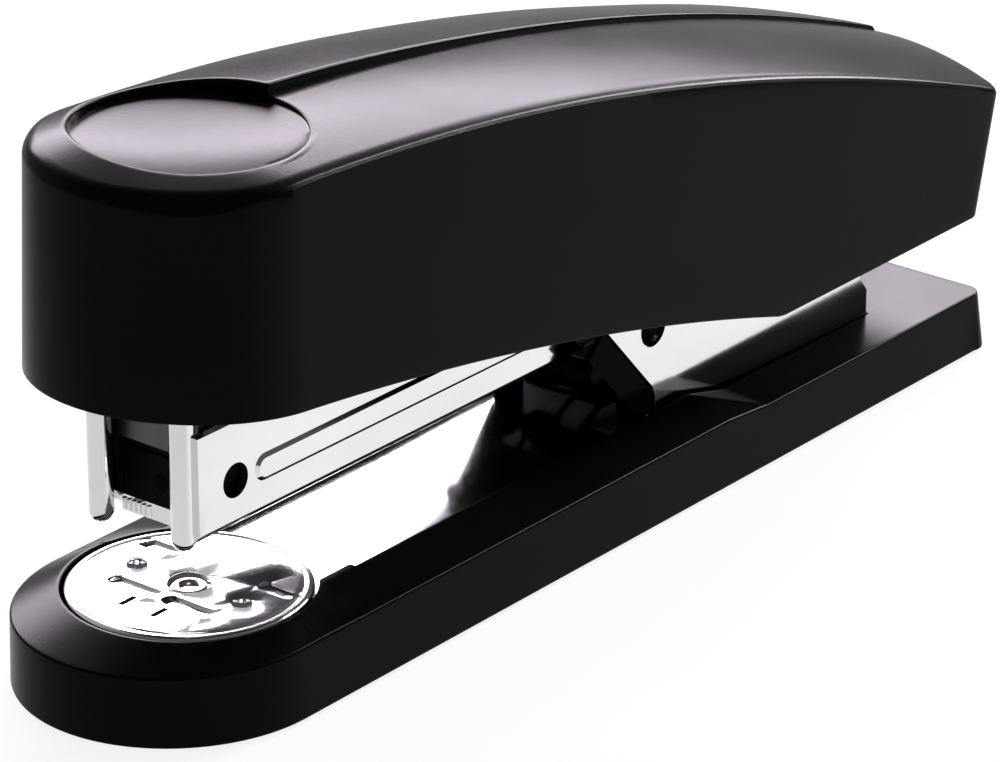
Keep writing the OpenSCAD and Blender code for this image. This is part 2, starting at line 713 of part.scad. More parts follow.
module anvil_disc() color("#d4d7dc") from_front() difference() {
    translate([anvil_s, 0, 0]) rotate_extrude($fn = fine) polygon([[0, anvil_h - anvil_t],
        [anvil_r - anvil_t, anvil_h - anvil_t], [anvil_r - anvil_t, plate_top + 2 * run_gap],
        [anvil_r, plate_top + 2 * run_gap], [anvil_r, anvil_h - anvil_edge],
        [anvil_r - anvil_edge, anvil_h], [0, anvil_h]]);
    post(anvil_s, 0, 0, rivet_r, far);
    for (m = [-1, 1]) {
        groove(anvil_s - groove_off + m * groove_shift, m * groove_l / 2, groove_l, groove_w, groove_depth);
        groove(anvil_s + groove_off, m * (anvil_r - pin_groove_edge - pin_groove_l / 2), pin_groove_l,
            groove_w, groove_depth);
        post(anvil_s, m * index_off, 0, index_r, far);
        translate([anvil_s - mark_off, m * mark_y, anvil_h])
            cube([mark_l, mark_w, 2 * mark_depth], center = true);
    }
}

module anvil_rivet() color("#b9b29a") from_front() {
    flange_z = button_z + button_recess - 2 * run_gap - flange_t;
    difference() {
        union() {
            post(anvil_s, 0, flange_z, shoulder_r, flange_t);
            post(anvil_s, 0, flange_z, rivet_r, anvil_h - flange_z);
            post(anvil_s, 0, button_top + 2 * run_gap, shoulder_r,
                anvil_h - anvil_t - button_top - 2 * run_gap);
            post(anvil_s, 0, anvil_h, rivet_r + flange_out, rivet_head_h);
        }
        post(anvil_s, 0, 0, rivet_bore_r, far);
    }
}

module anvil_button() color("#3a3a3d") from_front() difference() {
    post(anvil_s, 0, button_z, button_r, button_h);
    post(anvil_s, 0, 0, rivet_r + run_gap, far);
    post(anvil_s, 0, 0, shoulder_r + gap, button_z + button_recess);
}

module anvil_spring() color("#9da0a6") from_front()
    translate([anvil_s, 0, button_top + anvil_wire / 2 + run_gap])
        wire(coil(shoulder_r + anvil_coil_gap, anvil_turns,
            anvil_pocket_z - button_top - anvil_wire - 2 * run_gap), anvil_wire);

// Side view of the magazine's side wall
module magazine_outline() {
    side_front_s = pillar_s + pillar_neck;
    polygon([[side_front_s, mag_z], [mag_end_s, mag_z], [mag_end_s - notch_cut, mag_z + notch_low],
        [mag_end_s - notch_l, mag_z + notch_h], [pivot_s - ear_run, pivot_z - ear_r + run_gap],
        [pivot_s, pivot_z], [pivot_s, pivot_z + ear_r], [return_s + top_run, mag_top],
        [side_front_s, mag_top]]);
    translate([pivot_s, pivot_z]) circle(r = ear_r);
}

module magazine_channel() color("#d4d7dc") from_front() difference() {
    union() {
        both_sides() side_sheet(mag_w / 2, mag_t) magazine_outline();
        block(rail_s, mag_end_s, mag_w, mag_z, floor_top);
        block(rail_s, rail_s + mag_t, rail_w, mag_z - floor_bend, floor_top);
        block(return_s - bridge_l / 2, return_s + bridge_l / 2, mag_w, mag_top - mag_t, mag_top);
        both_sides() {
            post(pillar_s, -pillar_y, mag_z - pillar_tip + pillar_r, pillar_r,
                mag_top - mag_z + pillar_tip - pillar_r + pillar_rise);
            translate([pillar_s, -pillar_y, mag_z - pillar_tip + pillar_r]) sphere(r = pillar_r);
        }
    }
    cross_bar(side_hole_s, mag_z + side_hole_up, side_hole_r, far);
    cross_bar(pivot_s, pivot_z, pin_r + run_gap, far);
    both_sides() translate([0, -mag_w / 2 + press_depth, mag_z + side_hole_up]) rotate([90, 0, 0])
        linear_extrude(far) {
            translate([press_s, 0]) circle(r = press_w / 2);
            translate([press_s, -press_w / 2]) square([mag_end_s - press_end - press_s, press_w]);
        }
    for (s = rail_rivet_stations) post(s, 0, 0, rail_rivet_r, floor_top + rail_h / 2);
}

module staple_rail() color("#bfc2c8") from_front() difference() {
    block(rail_s, rod_end_s + rail_t, rail_w, floor_top, rail_top);
    block(rail_s + rail_t, rod_end_s, rail_w - 2 * rail_t, floor_top + rail_t, rail_top - rail_t);
    block(rail_s + rail_t, slot_end_s, rail_slot, rail_top - rail_t - eps, far);
    long_bar(-far, 0, rod_z, rod_r, 2 * far);
    for (s = rail_rivet_stations) post(s, 0, 0, rail_rivet_r, floor_top + rail_h / 2);
}

module rail_rivets() color("#a9acb2") from_front()
    for (s = rail_rivet_stations) post(s, 0, mag_z, rail_rivet_r, mag_t + rail_t);

module pusher_rod() color("#b4b7bd") from_front()
    long_bar(rail_s, 0, rod_z, rod_r, rod_end_s + rail_t - rail_s);

module pusher_spring() color("#9da0a6") from_front() {
    l = rod_end_s - rail_s - pusher_l - 4 * run_gap;
    translate([rail_s + pusher_l + 2 * run_gap + pusher_wire / 2, 0, rod_z]) rotate([0, 90, 0])
        wire(coil(rod_r + rod_coil_gap + pusher_wire / 2, pusher_turns, l - pusher_wire), pusher_wire);
}

module staple_pusher() color("#161618") from_front() difference() {
    union() {
        difference() {
            block(rail_s, rail_s + pusher_l, mag_w - 2 * mag_t - 2 * gap, floor_top + gap,
                rail_top + pusher_rise);
            block(-far, far, rail_w + 2 * gap, 0, rail_top + gap);
        }
        block(rail_s + rail_t + gap, rail_s + pusher_l, rail_slot - 2 * gap, rod_z,
            rail_top + key_rise);
        long_bar(rail_s + rail_t + gap, 0, rod_z, pusher_eye_r, pusher_l - rail_t - gap);
    }
    long_bar(-far, 0, rod_z, rod_r + run_gap, 2 * far);
}

module handle_arm() color("#b4b7bd") from_front() at_rest() difference() {
    union() {
        both_sides() side_sheet(arm_w / 2, arm_t) {
            polygon([[arm_front_s, arm_top - arm_side_h], [arm_front_s, arm_top], [arm_web_s, arm_top],
                [pivot_s - tail_run, pivot_z + ear_r + tail_rise], [pivot_s, pivot_z + ear_r],
                [pivot_s, pivot_z], [pivot_s - tail_run, pivot_z - tail_drop],
                [arm_web_s - arm_bend, arm_top - arm_side_h]]);
            translate([pivot_s, pivot_z]) circle(r = ear_r);
        }
        block(arm_front_s, arm_web_s, arm_w, arm_top - arm_t, arm_top);
        block(arm_front_s, arm_front_s + arm_t, arm_w, arm_top - arm_side_h, arm_top);
        post(return_s, 0, arm_top - arm_t - stud_h, return_r - return_wire / 2 - stud_gap, stud_h + eps);
    }
    cross_bar(pivot_s, pivot_z, pin_r + run_gap, far);
    for (s = post_stations) post(s, 0, 0, stub_r + 2 * run_gap, far);
    for (m = [-1, 1])
        long_bar(-through / 2, m * blade_rivet_gap / 2, arm_top - arm_side_h / 2, blade_rivet_r, through);
}

module driver_blade() color("#8d9096") from_front() at_rest() difference() {
    block(blade_s, arm_front_s, blade_w, blade_low, arm_top - blade_drop);
    for (m = [-1, 1])
        long_bar(-through / 2, m * blade_rivet_gap / 2, arm_top - arm_side_h / 2, blade_rivet_r, through);
}

module blade_rivets() color("#a9acb2") from_front() at_rest() for (m = [-1, 1]) {
    y = m * blade_rivet_gap / 2;
    z = arm_top - arm_side_h / 2;
    long_bar(blade_s - blade_head_t, y, z, blade_rivet_r, blade_t + arm_t + 2 * blade_head_t);
    for (s = [blade_s - blade_head_t, arm_front_s + arm_t])
        long_bar(s, y, z, blade_rivet_r + blade_head_out, blade_head_t);
}

module return_spring() color("#9da0a6") from_front() {
    seat = raised(return_s, arm_top - arm_t)[1];
    translate([raised(return_s, arm_top)[0] - return_lead, 0, mag_top + return_wire / 2 + run_gap])
        wire(coil(return_r, return_turns, seat - mag_top - return_wire - return_play), return_wire);
}

// Plan of the cover, shrunk by a distance, with its rear end at a station
module cover_plan(inset, rear_s) {
    half = cover_r - inset;
    corner_s = rear_s - cover_corner_r;
    translate([cover_s, 0]) circle(r = half, $fn = fine);
    translate([cover_s, -half]) square([corner_s - cover_s, 2 * half]);
    translate([cover_s, cover_corner_r - half]) square([rear_s - cover_s, 2 * (half - cover_corner_r)]);
    for (m = [-1, 1]) translate([corner_s, m * (half - cover_corner_r)])
        circle(r = cover_corner_r, $fn = hull_fn);
}

// Everything under the cover's top curve, lowered by a distance
module under_top(down) {
    translate([crown_s, far / 2, cover_top - top_r]) rotate([90, 0, 0])
        cylinder(r = top_r - down, h = far, $fn = big_fn);
}

// An upright slice of the cover, shrunk by a distance and lowered by another
module cover_slice(inset, down) intersection() {
    translate([0, 0, tail_top]) linear_extrude(far)
        cover_plan(inset, cover_rear_s + tail_lean - min(inset - cover_draft, edge_r));
    under_top(down);
}

// Outside of the cover before its arch is cut
module cover_body() hull() {
    crown_w = cover_r - cover_draft - edge_r;
    translate([0, 0, tail_z]) linear_extrude(eps) cover_plan(0, cover_rear_s);
    cover_slice(cover_draft, crown + edge_r);
    cover_slice(cover_draft + edge_r * 0.3, crown + edge_r * 0.3);
    for (i = [1:crown_steps]) let (part = i / crown_steps)
        cover_slice(cover_r - part * crown_w, crown * part * part);
}

module cover_shell() color("#1b1a1d") from_front() {
    ridge_s = dish_s + dish_r + cover_wall;
    difference() {
        cover_body();
        // hollow, deeper under the ridge of the top
        intersection() {
            linear_extrude(far) cover_plan(cover_wall + cover_draft, cover_rear_s - cover_wall + 2 * gap);
            under_top(crown + cover_wall + step_depth);
        }
        intersection() {
            block(ridge_s, cover_rear_s - cover_wall, cover_r, tail_z, far);
            under_top(crown / 4 + cover_wall + step_depth);
        }
        // arch of the lower edge
        translate([arch_s, far / 2, arch_z - arch_r]) rotate([90, 0, 0]) intersection() {
            cylinder(r = arch_r, h = far, $fn = big_fn);
            translate([0, tail_z - slice_t - arch_z + arch_r, 0]) cube([far, far, far]);
        }
        // near half of the top, a step below the far half
        for (i = [1:ramp_steps]) let (ramp_y = (i - ramp_steps) * ramp_run) difference() {
            translate([0, 0, tail_top]) linear_extrude(far)
                polygon([[-far, -far], [-far, ramp_y], [dish_s, ramp_y], [dish_s, 0],
                    [cover_rear_s, step_shift], [far, step_shift], [far, -far]]);
            translate([0, 0, -step_depth * i / ramp_steps]) cover_body();
        }
        // thumb dish
        post(dish_s, 0, cover_top - dish_depth, dish_r, far);
    }
    for (s = post_stations) let (h = top_z(s, cover_wall / 2 + step_depth) - raised(s, arm_top)[1])
        at_rest() {
            post(s, 0, arm_top, post_r, h);
            post(s, 0, arm_top - arm_t - clip_t - stub_end, stub_r, arm_t + clip_t + 2 * stub_end);
        }
}

module cover_clips() color("#8f9298") from_front() at_rest() for (s = post_stations) difference() {
    post(s, 0, arm_top - arm_t - clip_t, clip_r, clip_t);
    post(s, 0, 0, stub_r, far);
}

base_shell();
base_sole();
hinge_frame();
frame_screws();
pivot_pin();
pivot_ring();
bracket_pin();
lift_spring();
lift_bracket();
anvil_disc();
anvil_rivet();
anvil_button();
anvil_spring();
magazine_channel();
staple_rail();
rail_rivets();
pusher_rod();
pusher_spring();
staple_pusher();
handle_arm();
driver_blade();
blade_rivets();
return_spring();
cover_shell();
cover_clips();
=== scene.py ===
"""Looks of the desk stapler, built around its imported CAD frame.

Lengths are in millimetres until a mesh is made.
"""

import json
import math

import bmesh
import bpy
import numpy as np
from mathutils import Matrix, Vector
from mathutils.geometry import delaunay_2d_cdt


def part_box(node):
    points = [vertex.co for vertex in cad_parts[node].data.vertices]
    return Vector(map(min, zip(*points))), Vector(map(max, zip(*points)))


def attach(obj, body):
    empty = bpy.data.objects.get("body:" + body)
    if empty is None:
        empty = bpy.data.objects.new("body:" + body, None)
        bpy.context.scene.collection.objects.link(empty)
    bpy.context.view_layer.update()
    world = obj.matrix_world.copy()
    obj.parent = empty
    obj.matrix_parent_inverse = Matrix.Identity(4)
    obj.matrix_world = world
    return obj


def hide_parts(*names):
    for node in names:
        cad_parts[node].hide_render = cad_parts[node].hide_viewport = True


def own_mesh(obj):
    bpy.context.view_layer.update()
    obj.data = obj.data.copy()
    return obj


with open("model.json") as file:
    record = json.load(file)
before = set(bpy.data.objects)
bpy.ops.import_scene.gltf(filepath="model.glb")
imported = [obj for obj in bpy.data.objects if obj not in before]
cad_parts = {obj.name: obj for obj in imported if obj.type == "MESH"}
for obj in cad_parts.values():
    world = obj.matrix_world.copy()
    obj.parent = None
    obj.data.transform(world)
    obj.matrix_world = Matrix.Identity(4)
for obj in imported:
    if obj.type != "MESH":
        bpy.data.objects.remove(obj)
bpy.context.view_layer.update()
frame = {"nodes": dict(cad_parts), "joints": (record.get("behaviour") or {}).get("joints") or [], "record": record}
MM = 0.001
JOINTS = {j["name"]: j for j in frame["joints"]}

# Stations run along X from the centre of the base's round front, as in the CAD.
PIVOT_S = 120.0
FRONT_X = JOINTS["magazine_pivot"]["pos_m"][0] / MM - PIVOT_S
ANVIL_S = JOINTS["anvil_turn"]["pos_m"][0] / MM - FRONT_X


def smooth(a, b, x):
    """0 below a, 1 above b, and a smooth rise between them. a may be the larger."""
    t = np.clip((x - a) / (b - a), 0.0, 1.0)
    return t * t * (3 - 2 * t)


# ---------------------------------------------------------------- materials

NOISE_LOW, NOISE_HIGH = 0.3, 0.7  # the range that a noise's factor mostly stays in
WIDE_DETAIL, FINE_DETAIL, FINE_SEED = 5.0, 3.0, 3.1


def new_material(name):
    mat = bpy.data.materials.new(name)
    mat.use_nodes = True
    tree = mat.node_tree
    return mat, tree, tree.nodes["Principled BSDF"]


def noise(tree, scale, detail, stretch, seed=0.0):
    """A noise texture in object coordinates, in which one unit is a metre."""
    coords = tree.nodes.new("ShaderNodeTexCoord")
    mapping = tree.nodes.new("ShaderNodeMapping")
    mapping.inputs["Scale"].default_value = stretch
    mapping.inputs["Location"].default_value = (seed, seed, seed)
    tex = tree.nodes.new("ShaderNodeTexNoise")
    tex.inputs["Scale"].default_value = scale
    tex.inputs["Detail"].default_value = detail
    tree.links.new(coords.outputs["Object"], mapping.inputs["Vector"])
    tree.links.new(mapping.outputs["Vector"], tex.inputs["Vector"])
    return tex.outputs["Fac"]


def spread(tree, fac, low, high):
    """Maps a factor's middle range to low..high."""
    node = tree.nodes.new("ShaderNodeMapRange")
    node.inputs["From Min"].default_value = NOISE_LOW
    node.inputs["From Max"].default_value = NOISE_HIGH
    node.inputs["To Min"].default_value = low
    node.inputs["To Max"].default_value = high
    tree.links.new(fac, node.inputs["Value"])
    return node.outputs["Result"]


def ramp(tree, fac, low, high):
    """A colour between two colours."""
    node = tree.nodes.new("ShaderNodeValToRGB")
    ends = (NOISE_LOW, low), (NOISE_HIGH, high)
    for element, (position, colour) in zip(node.color_ramp.elements, ends):
        element.position = position
        element.color = (*colour, 1)
    tree.links.new(fac, node.inputs["Fac"])
    return node.outputs["Color"]


def bump(tree, shader, height, distance):
    node = tree.nodes.new("ShaderNodeBump")
    node.inputs["Distance"].default_value = distance
    node.inputs["Strength"].default_value = 1.0
    tree.links.new(height, node.inputs["Height"])
    tree.links.new(node.outputs["Normal"], shader.inputs["Normal"])


def surface(name, low, high, rough, grain, depth, metal=0.0, scale=60.0, stretch=(1, 1, 1),
            grain_stretch=(1, 1, 1), specular=0.5):
    """A procedural finish: colour and roughness vary slowly, and a fine grain lifts the surface.
    The grain's depth is in metres."""
    mat, tree, shader = new_material(name)
    wide = noise(tree, scale, WIDE_DETAIL, stretch)
    fine = noise(tree, grain, FINE_DETAIL, grain_stretch, FINE_SEED)
    tree.links.new(ramp(tree, wide, low, high), shader.inputs["Base Color"])
    tree.links.new(spread(tree, wide, *rough), shader.inputs["Roughness"])
    shader.inputs["Metallic"].default_value = metal
    shader.inputs["Specular IOR Level"].default_value = specular
    bump(tree, shader, fine, depth)
    return mat


PLASTIC = surface("satin_black_plastic", (0.0014, 0.0011, 0.0014), (0.0022, 0.0018, 0.0022),
                  (0.21, 0.27), grain=2600.0, depth=0.000012, specular=0.043)
INNER = surface("matt_black_plastic", (0.0015, 0.0015, 0.0016), (0.003, 0.003, 0.0033),
                (0.5, 0.62), grain=1800.0, depth=0.00002, specular=0.05)
RUBBER = surface("black_rubber", (0.012, 0.012, 0.013), (0.022, 0.022, 0.023),
                 (0.72, 0.85), grain=1500.0, depth=0.00005)
CHROME = surface("bright_nickel", (0.80, 0.79, 0.81), (0.88, 0.87, 0.89), (0.07, 0.12),
                 grain=1400.0, depth=0.0000025, metal=1.0, scale=140.0, stretch=(0.25, 1, 1))
STEEL = surface("drawn_steel", (0.40, 0.40, 0.41), (0.52, 0.52, 0.53), (0.26, 0.36),
                grain=2400.0, depth=0.000004, metal=1.0, scale=300.0, stretch=(0.12, 1, 1),
                grain_stretch=(0.1, 1, 1))
BLADE = surface("grey_blade_steel", (0.1, 0.097, 0.1), (0.16, 0.156, 0.16), (0.38, 0.5),
                grain=2600.0, depth=0.000006, metal=1.0, scale=500.0, stretch=(1, 1, 0.15),
                grain_stretch=(1, 1, 0.1))
# Dark steel used only for the sheet under the magazine, which is painted shade.
SHADE_SHEET_STEEL = surface("painted_shade_steel", (0.02, 0.02, 0.021), (0.05, 0.05, 0.052), (0.3, 0.45),
                     grain=2400.0, depth=0.000006, metal=1.0, scale=200.0, stretch=(0.2, 1, 1),
                     grain_stretch=(0.1, 1, 1))
WIRE = surface("spring_wire", (0.42, 0.42, 0.43), (0.58, 0.58, 0.58), (0.22, 0.34),
               grain=4000.0, depth=0.000004, metal=1.0, scale=900.0)
ENAMEL = surface("black_enamel", (0.001, 0.001, 0.001), (0.002, 0.002, 0.0022), (0.1, 0.17),
                 grain=700.0, depth=0.000008, scale=90.0, specular=0.01)
NICKEL_BRASS = surface("rivet_metal", (0.55, 0.50, 0.42), (0.68, 0.63, 0.54), (0.14, 0.22),
                       grain=3000.0, depth=0.000005, metal=1.0, scale=800.0)
SLOT_LOOK = {"black_plastic": PLASTIC, "sole_rubber": RUBBER, "chrome_steel": CHROME,
             "plain_steel": STEEL, "blade_steel": BLADE, "spring_steel": WIRE,
             "black_steel": ENAMEL, "nickel_brass": NICKEL_BRASS, "inner_plastic": INNER}


# ---------------------------------------------------------------- mesh helpers

SHARP_DEG, BEND_DEG = 35.0, 32.0  # edges sharper than these stay sharp, or are rounded


def place(points):
    """Station coordinates in millimetres to the frame's metres."""
    return [((s + FRONT_X) * MM, y * MM, z * MM) for s, y, z in points]


def cad_mm(node):
    """A node's box in station millimetres."""
    return [np.array([x / MM - FRONT_X, y / MM, z / MM]) for x, y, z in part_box(node)]


def add_object(name, data):
    obj = bpy.data.objects.new(name, data)
    bpy.context.collection.objects.link(obj)
    return obj


def finish_mesh(obj, look, sharp_deg=SHARP_DEG):
    mesh = obj.data
    mesh.materials.clear()
    mesh.materials.append(look)
    for face in mesh.polygons:
        face.use_smooth = True
    mesh.set_sharp_from_angle(angle=math.radians(sharp_deg))


def piece(name, points, faces, look, body, stands_for=(), sharp_deg=SHARP_DEG):
    mesh = bpy.data.meshes.new(name)
    mesh.from_pydata(place(points), [], faces)
    mesh.validate()
    obj = add_object(name, mesh)
    work = bmesh.new()
    work.from_mesh(mesh)
    bmesh.ops.remove_doubles(work, verts=work.verts, dist=1e-7)
    bmesh.ops.recalc_face_normals(work, faces=work.faces)
    work.to_mesh(mesh)
    work.free()
    finish_mesh(obj, look, sharp_deg)
    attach(obj, body)
    if stands_for:
        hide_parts(*stands_for)
    return obj


def grid_faces(rows, cols, start=0):
    """Quads between rows of equal length, each of which joins its last point to its first."""
    faces = []
    for i in range(rows - 1):
        for j in range(cols):
            a, b = start + i * cols + j, start + i * cols + (j + 1) % cols
            faces.append((a, b, b + cols, a + cols))
    return faces


def level(loop, z):
    return np.column_stack([loop, np.full(len(loop), z)])


def ring(centre, radius, count):
    angle = np.linspace(0, 2 * math.pi, count, endpoint=False)
    return np.column_stack([centre[0] + radius * np.cos(angle), centre[1] + radius * np.sin(angle)])


def round_edges(obj, edge, steps):
    bevel = obj.modifiers.new("round", "BEVEL")
    bevel.width = edge * MM
    bevel.segments = steps
    bevel.limit_method = "ANGLE"
    bevel.angle_limit = math.radians(BEND_DEG)
    bevel.harden_normals = True
    bevel.miter_outer = "MITER_ARC"


def dressed(node, body, look, edge, steps=2, name=None):
    """A copy of a CAD node with its flat faces merged and its sharp edges rounded."""
    source = frame["nodes"][node]
    name = name or node + "_dressed"
    work = bmesh.new()
    work.from_mesh(source.data)
    work.transform(source.matrix_world)
    bmesh.ops.remove_doubles(work, verts=work.verts, dist=2e-6)
    bmesh.ops.dissolve_limit(work, angle_limit=math.radians(1.0), verts=work.verts,
                             edges=work.edges)
    bmesh.ops.recalc_face_normals(work, faces=work.faces)
    mesh = bpy.data.meshes.new(name)
    work.to_mesh(mesh)
    work.free()
    obj = add_object(name, mesh)
    round_edges(obj, edge, steps)
    finish_mesh(obj, look)
    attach(obj, body)
    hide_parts(node)
    return obj


def split_off(obj, name, belongs, look, body):
    """Takes the faces of a piece that pass a test as a piece of another look. The test gets the
    station, the distance from the middle and the height of a face's centre, in millimetres."""

    def is_part(face):
        c = face.calc_center_median() / MM
        return belongs(c.x - FRONT_X, abs(c.y), c.z)

    part = add_object(name, obj.data.copy())
    part.data.name = name
    for target, drop in ((obj, True), (part, False)):
        work = bmesh.new()
        work.from_mesh(target.data)
        gone = [f for f in work.faces if is_part(f) == drop]
        bmesh.ops.delete(work, geom=gone, context="FACES")
        work.to_mesh(target.data)
        work.free()
    part.data.materials.clear()
    part.data.materials.append(look)
    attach(part, body)
    return part


class Builder:
    """Collects points and faces of one mesh."""

    def __init__(self):
        self.points, self.faces = [], []

    def add(self, points):
        start = len(self.points)
        self.points += [tuple(p) for p in points]
        return start

    def rows(self, rows):
        start = len(self.points)
        for r in rows:
            self.add(r)
        self.faces += grid_faces(len(rows), len(rows[0]), start)

    def cap(self, loop):
        start = self.add(loop)
        self.faces.append(tuple(range(start, start + len(loop))))

    def fan(self, loop, centre):
        start = self.add(loop)
        self.add([centre])
        n = len(loop)
        self.faces += [(start + i, start + (i + 1) % n, start + n) for i in range(n)]

    def flat(self, outline, holes, z):
        plan, faces = flat_with_holes(outline, holes)
        start = self.add((p[0], p[1], z) for p in plan)
        self.faces += [tuple(start + i for i in f) for f in faces]


# ---------------------------------------------------------------- cover

# The cover's plan: the centre of its round front, half its width and its rear end, at the top and
# at the lower edge, the rear corners' radius, and the far wall's lean in at the top and out below.
COVER_S, COVER_W, COVER_LOW_W = 2.2, 16.9, 17.6
COVER_REAR, COVER_LOW_REAR, COVER_CORNER = 134.8, 130.0, 2.0
FAR_LEAN, FAR_FLARE = 0.55, 0.3
# Arcs along the top and along the lower edge: the crest's station, the radius and the height.
TOP_S, TOP_ARC, NEAR_TOP_Z, FAR_TOP_Z = -18.0, 430.0, 64.2, 65.3
LOW_S, LOW_ARC, LOW_Z, TAIL_Z = -51.2, 487.0, 38.6, 18.3
TOP_LENGTH = 130.0
# The thumb dish: its centre, radius, height at its rim and how far its middle stands over that.
DISH_S, DISH_R, DISH_Z, DISH_DOME = 4.1, 12.7, 62.35, -0.85
STEP_REAR_Y = 2.4  # where the step along the top meets the rear edge
REAR_EDGE, FACET = 0.7, 0.38  # rounding at the rear, and width of the facet along the near side
COVER_WALL, DISH_SKIN, CEILING = 2.0, 1.6, 2.2  # thickness of the shell
EDGE_POINTS, SIDE_POINTS, REAR_POINTS, CORNER_POINTS = 12, 100, 12, 8
# Columns near the step are spread round the dish within this angle, by this power.
SPREAD, SPREAD_POWER = math.radians(97.0), 0.6


def cover_height(s, y, far):
    """Height of the cover's top before its edges are rounded. far is 1 on the far half and 0 on
    the near half."""
    drop = TOP_ARC - np.sqrt(TOP_ARC ** 2 - (s - TOP_S) ** 2)
    reach = np.where(s < COVER_S, np.hypot(s - COVER_S, y), np.abs(y)) / COVER_W
    share = np.clip(s / TOP_LENGTH, 0.0, 1.0)
    nose = smooth(5.0, -9.0, s)
    near_crown = 2.1 + 1.5 * smooth(0.2, 1.0, share) + 0.5 * nose
    far_crown = 2.7 - 1.1 * smooth(85.0, 128.0, s) + 0.2 * nose
    near_top = NEAR_TOP_Z + 0.55 * share - near_crown * reach ** 2
    far_top = FAR_TOP_Z + 0.2 * smooth(60.0, 20.0, s) - far_crown * reach ** 2
    return (1 - far) * near_top + far * far_top - drop


def arch_height(s):
    """Height of the cover's lower edge."""
    return np.maximum(LOW_Z - LOW_ARC + np.sqrt(LOW_ARC ** 2 - (s - LOW_S) ** 2), TAIL_Z)


def cover_columns():
    """The cover's outline as columns, from the step on the rear edge round by the far side and
    the front. Each is (kind, value, far): what places it on an outline, and how far it belongs to
    the raised half."""
    inner = COVER_W - COVER_CORNER
    step = STEP_REAR_Y / inner
    columns = [("step", q, far) for q, far in ((0.0, 0.0), (0.07, 0.35), (0.12, 0.72), (0.2, 0.9),
                                               (0.34, 0.98), (0.6, 1.0))]
    columns += [("rear", g, 1.0) for g in np.linspace(step + 1.2 / inner, 1, REAR_POINTS)]
    columns += [("corner", (1, a), 1.0) for a in np.linspace(0, 90, CORNER_POINTS)[1:]]
    columns += [("side", (1, f), 1.0) for f in np.linspace(1, 0, SIDE_POINTS)[1:]]
    columns += [("front", a, float(smooth(236, 136, a))) for a in np.linspace(90, 270, 97)[1:]]
    columns += [("side", (-1, f), 0.0) for f in np.linspace(0, 1, SIDE_POINTS)[1:]]
    columns += [("corner", (-1, a), 0.0) for a in np.linspace(-90, 0, CORNER_POINTS)[1:]]
    columns += [("rear", g, 0.0) for g in np.linspace(-1, step - 1.0 / inner, REAR_POINTS)[1:]]
    columns += [("step", q, 0.0) for q in (-0.6, -0.25, -0.06)]
    return columns


def outline_point(column, half, rear):
    """(s, y) on an outline, and its outward normal."""
    kind, value, _ = column
    r = COVER_CORNER
    if kind == "step":
        return (rear, STEP_REAR_Y + value), (1.0, 0.0)
    if kind == "rear":
        return (rear, value * (half - r)), (1.0, 0.0)
    if kind == "corner":
        side, a = value
        n = (math.cos(math.radians(a)), math.sin(math.radians(a)))
        return (rear - r + r * n[0], side * (half - r) + r * n[1]), n
    if kind == "side":
        side, f = value
        return (COVER_S + f * (rear - r - COVER_S), side * half), (0.0, float(side))
    n = (math.cos(math.radians(value)), math.sin(math.radians(value)))
    return (COVER_S + half * n[0], half * n[1]), n


def side_taper(column):
    """How far a column belongs to the far side and the far front, whose walls lean in more."""
    kind, value, _ = column
    if kind == "side":
        return (1.0 if value[0] > 0 else 0.0) * float(smooth(1.0, 0.75, value[1]))
    return float(smooth(265, 200, value)) if kind == "front" else 0.0


def arc_edge(radius):
    angles = np.radians(np.linspace(0, 90, EDGE_POINTS))
    return np.column_stack([radius * (1 - np.sin(angles)), radius * (1 - np.cos(angles))]).ravel()


def facet_edge(radius, wide, bend_deg=28.0, tilt_deg=41.0):
    """A soft rounding that ends in a narrow crisp facet along the top of the side wall."""
    bend, tilt = math.radians(bend_deg), math.radians(tilt_deg)
    across, down = wide * math.cos(tilt), wide * math.sin(tilt)
    total = radius * math.sin(bend) + across
    angles = np.linspace(0, bend, EDGE_POINTS - 4)
    points = [(total - radius * math.sin(a), radius * (1 - math.cos(a))) for a in angles]
    drop = radius * (1 - math.cos(bend))
    points += [(across * (1 - f), drop + down * f) for f in (0.1, 0.5, 0.9, 1.0)]
    return np.array(points).ravel()


def edge_profile(column, s):
    """Rounding along the top edge, as pairs of (inset from the outline, drop below the top)."""
    kind, value, _ = column
    if kind in ("step", "rear", "corner"):
        return arc_edge(REAR_EDGE)
    if kind == "side" and value[0] > 0:
        return arc_edge(3.0 - 2.1 * float(smooth(90.0, 128.0, s)))
    near = facet_edge(2.6 - 1.5 * float(smooth(60.0, 125.0, s)), FACET)
    if kind == "side":
        end = float(smooth(129.0, 132.5, s))
        return near * (1 - end) + arc_edge(REAR_EDGE) * end
    mix = float(smooth(215, 268, value))
    round_off = 1.5 + 1.5 * smooth(112, 90, value) + 0.7 * smooth(185, 235, value)
    return arc_edge(round_off) * (1 - mix) + near * mix


def dish_angles(columns, top):
    """The angle round the dish that each column starts from, spread so that none cross."""
    step = math.atan2(STEP_REAR_Y, COVER_REAR - DISH_S)
    turn = 2 * math.pi
    out = []
    for i, (column, (s, y)) in enumerate(zip(columns, top)):
        if column[0] == "step":
            out.append(step + column[1] / DISH_R)
            continue
        a = math.atan2(y, s - DISH_S)
        if i > len(columns) // 2 and a < step:
            a += turn
        if a - step < SPREAD:
            a = step + SPREAD * ((a - step) / SPREAD) ** SPREAD_POWER
        elif step + turn - a < SPREAD:
            a = step + turn - SPREAD * ((step + turn - a) / SPREAD) ** SPREAD_POWER
        out.append(a)
    return np.array(out)


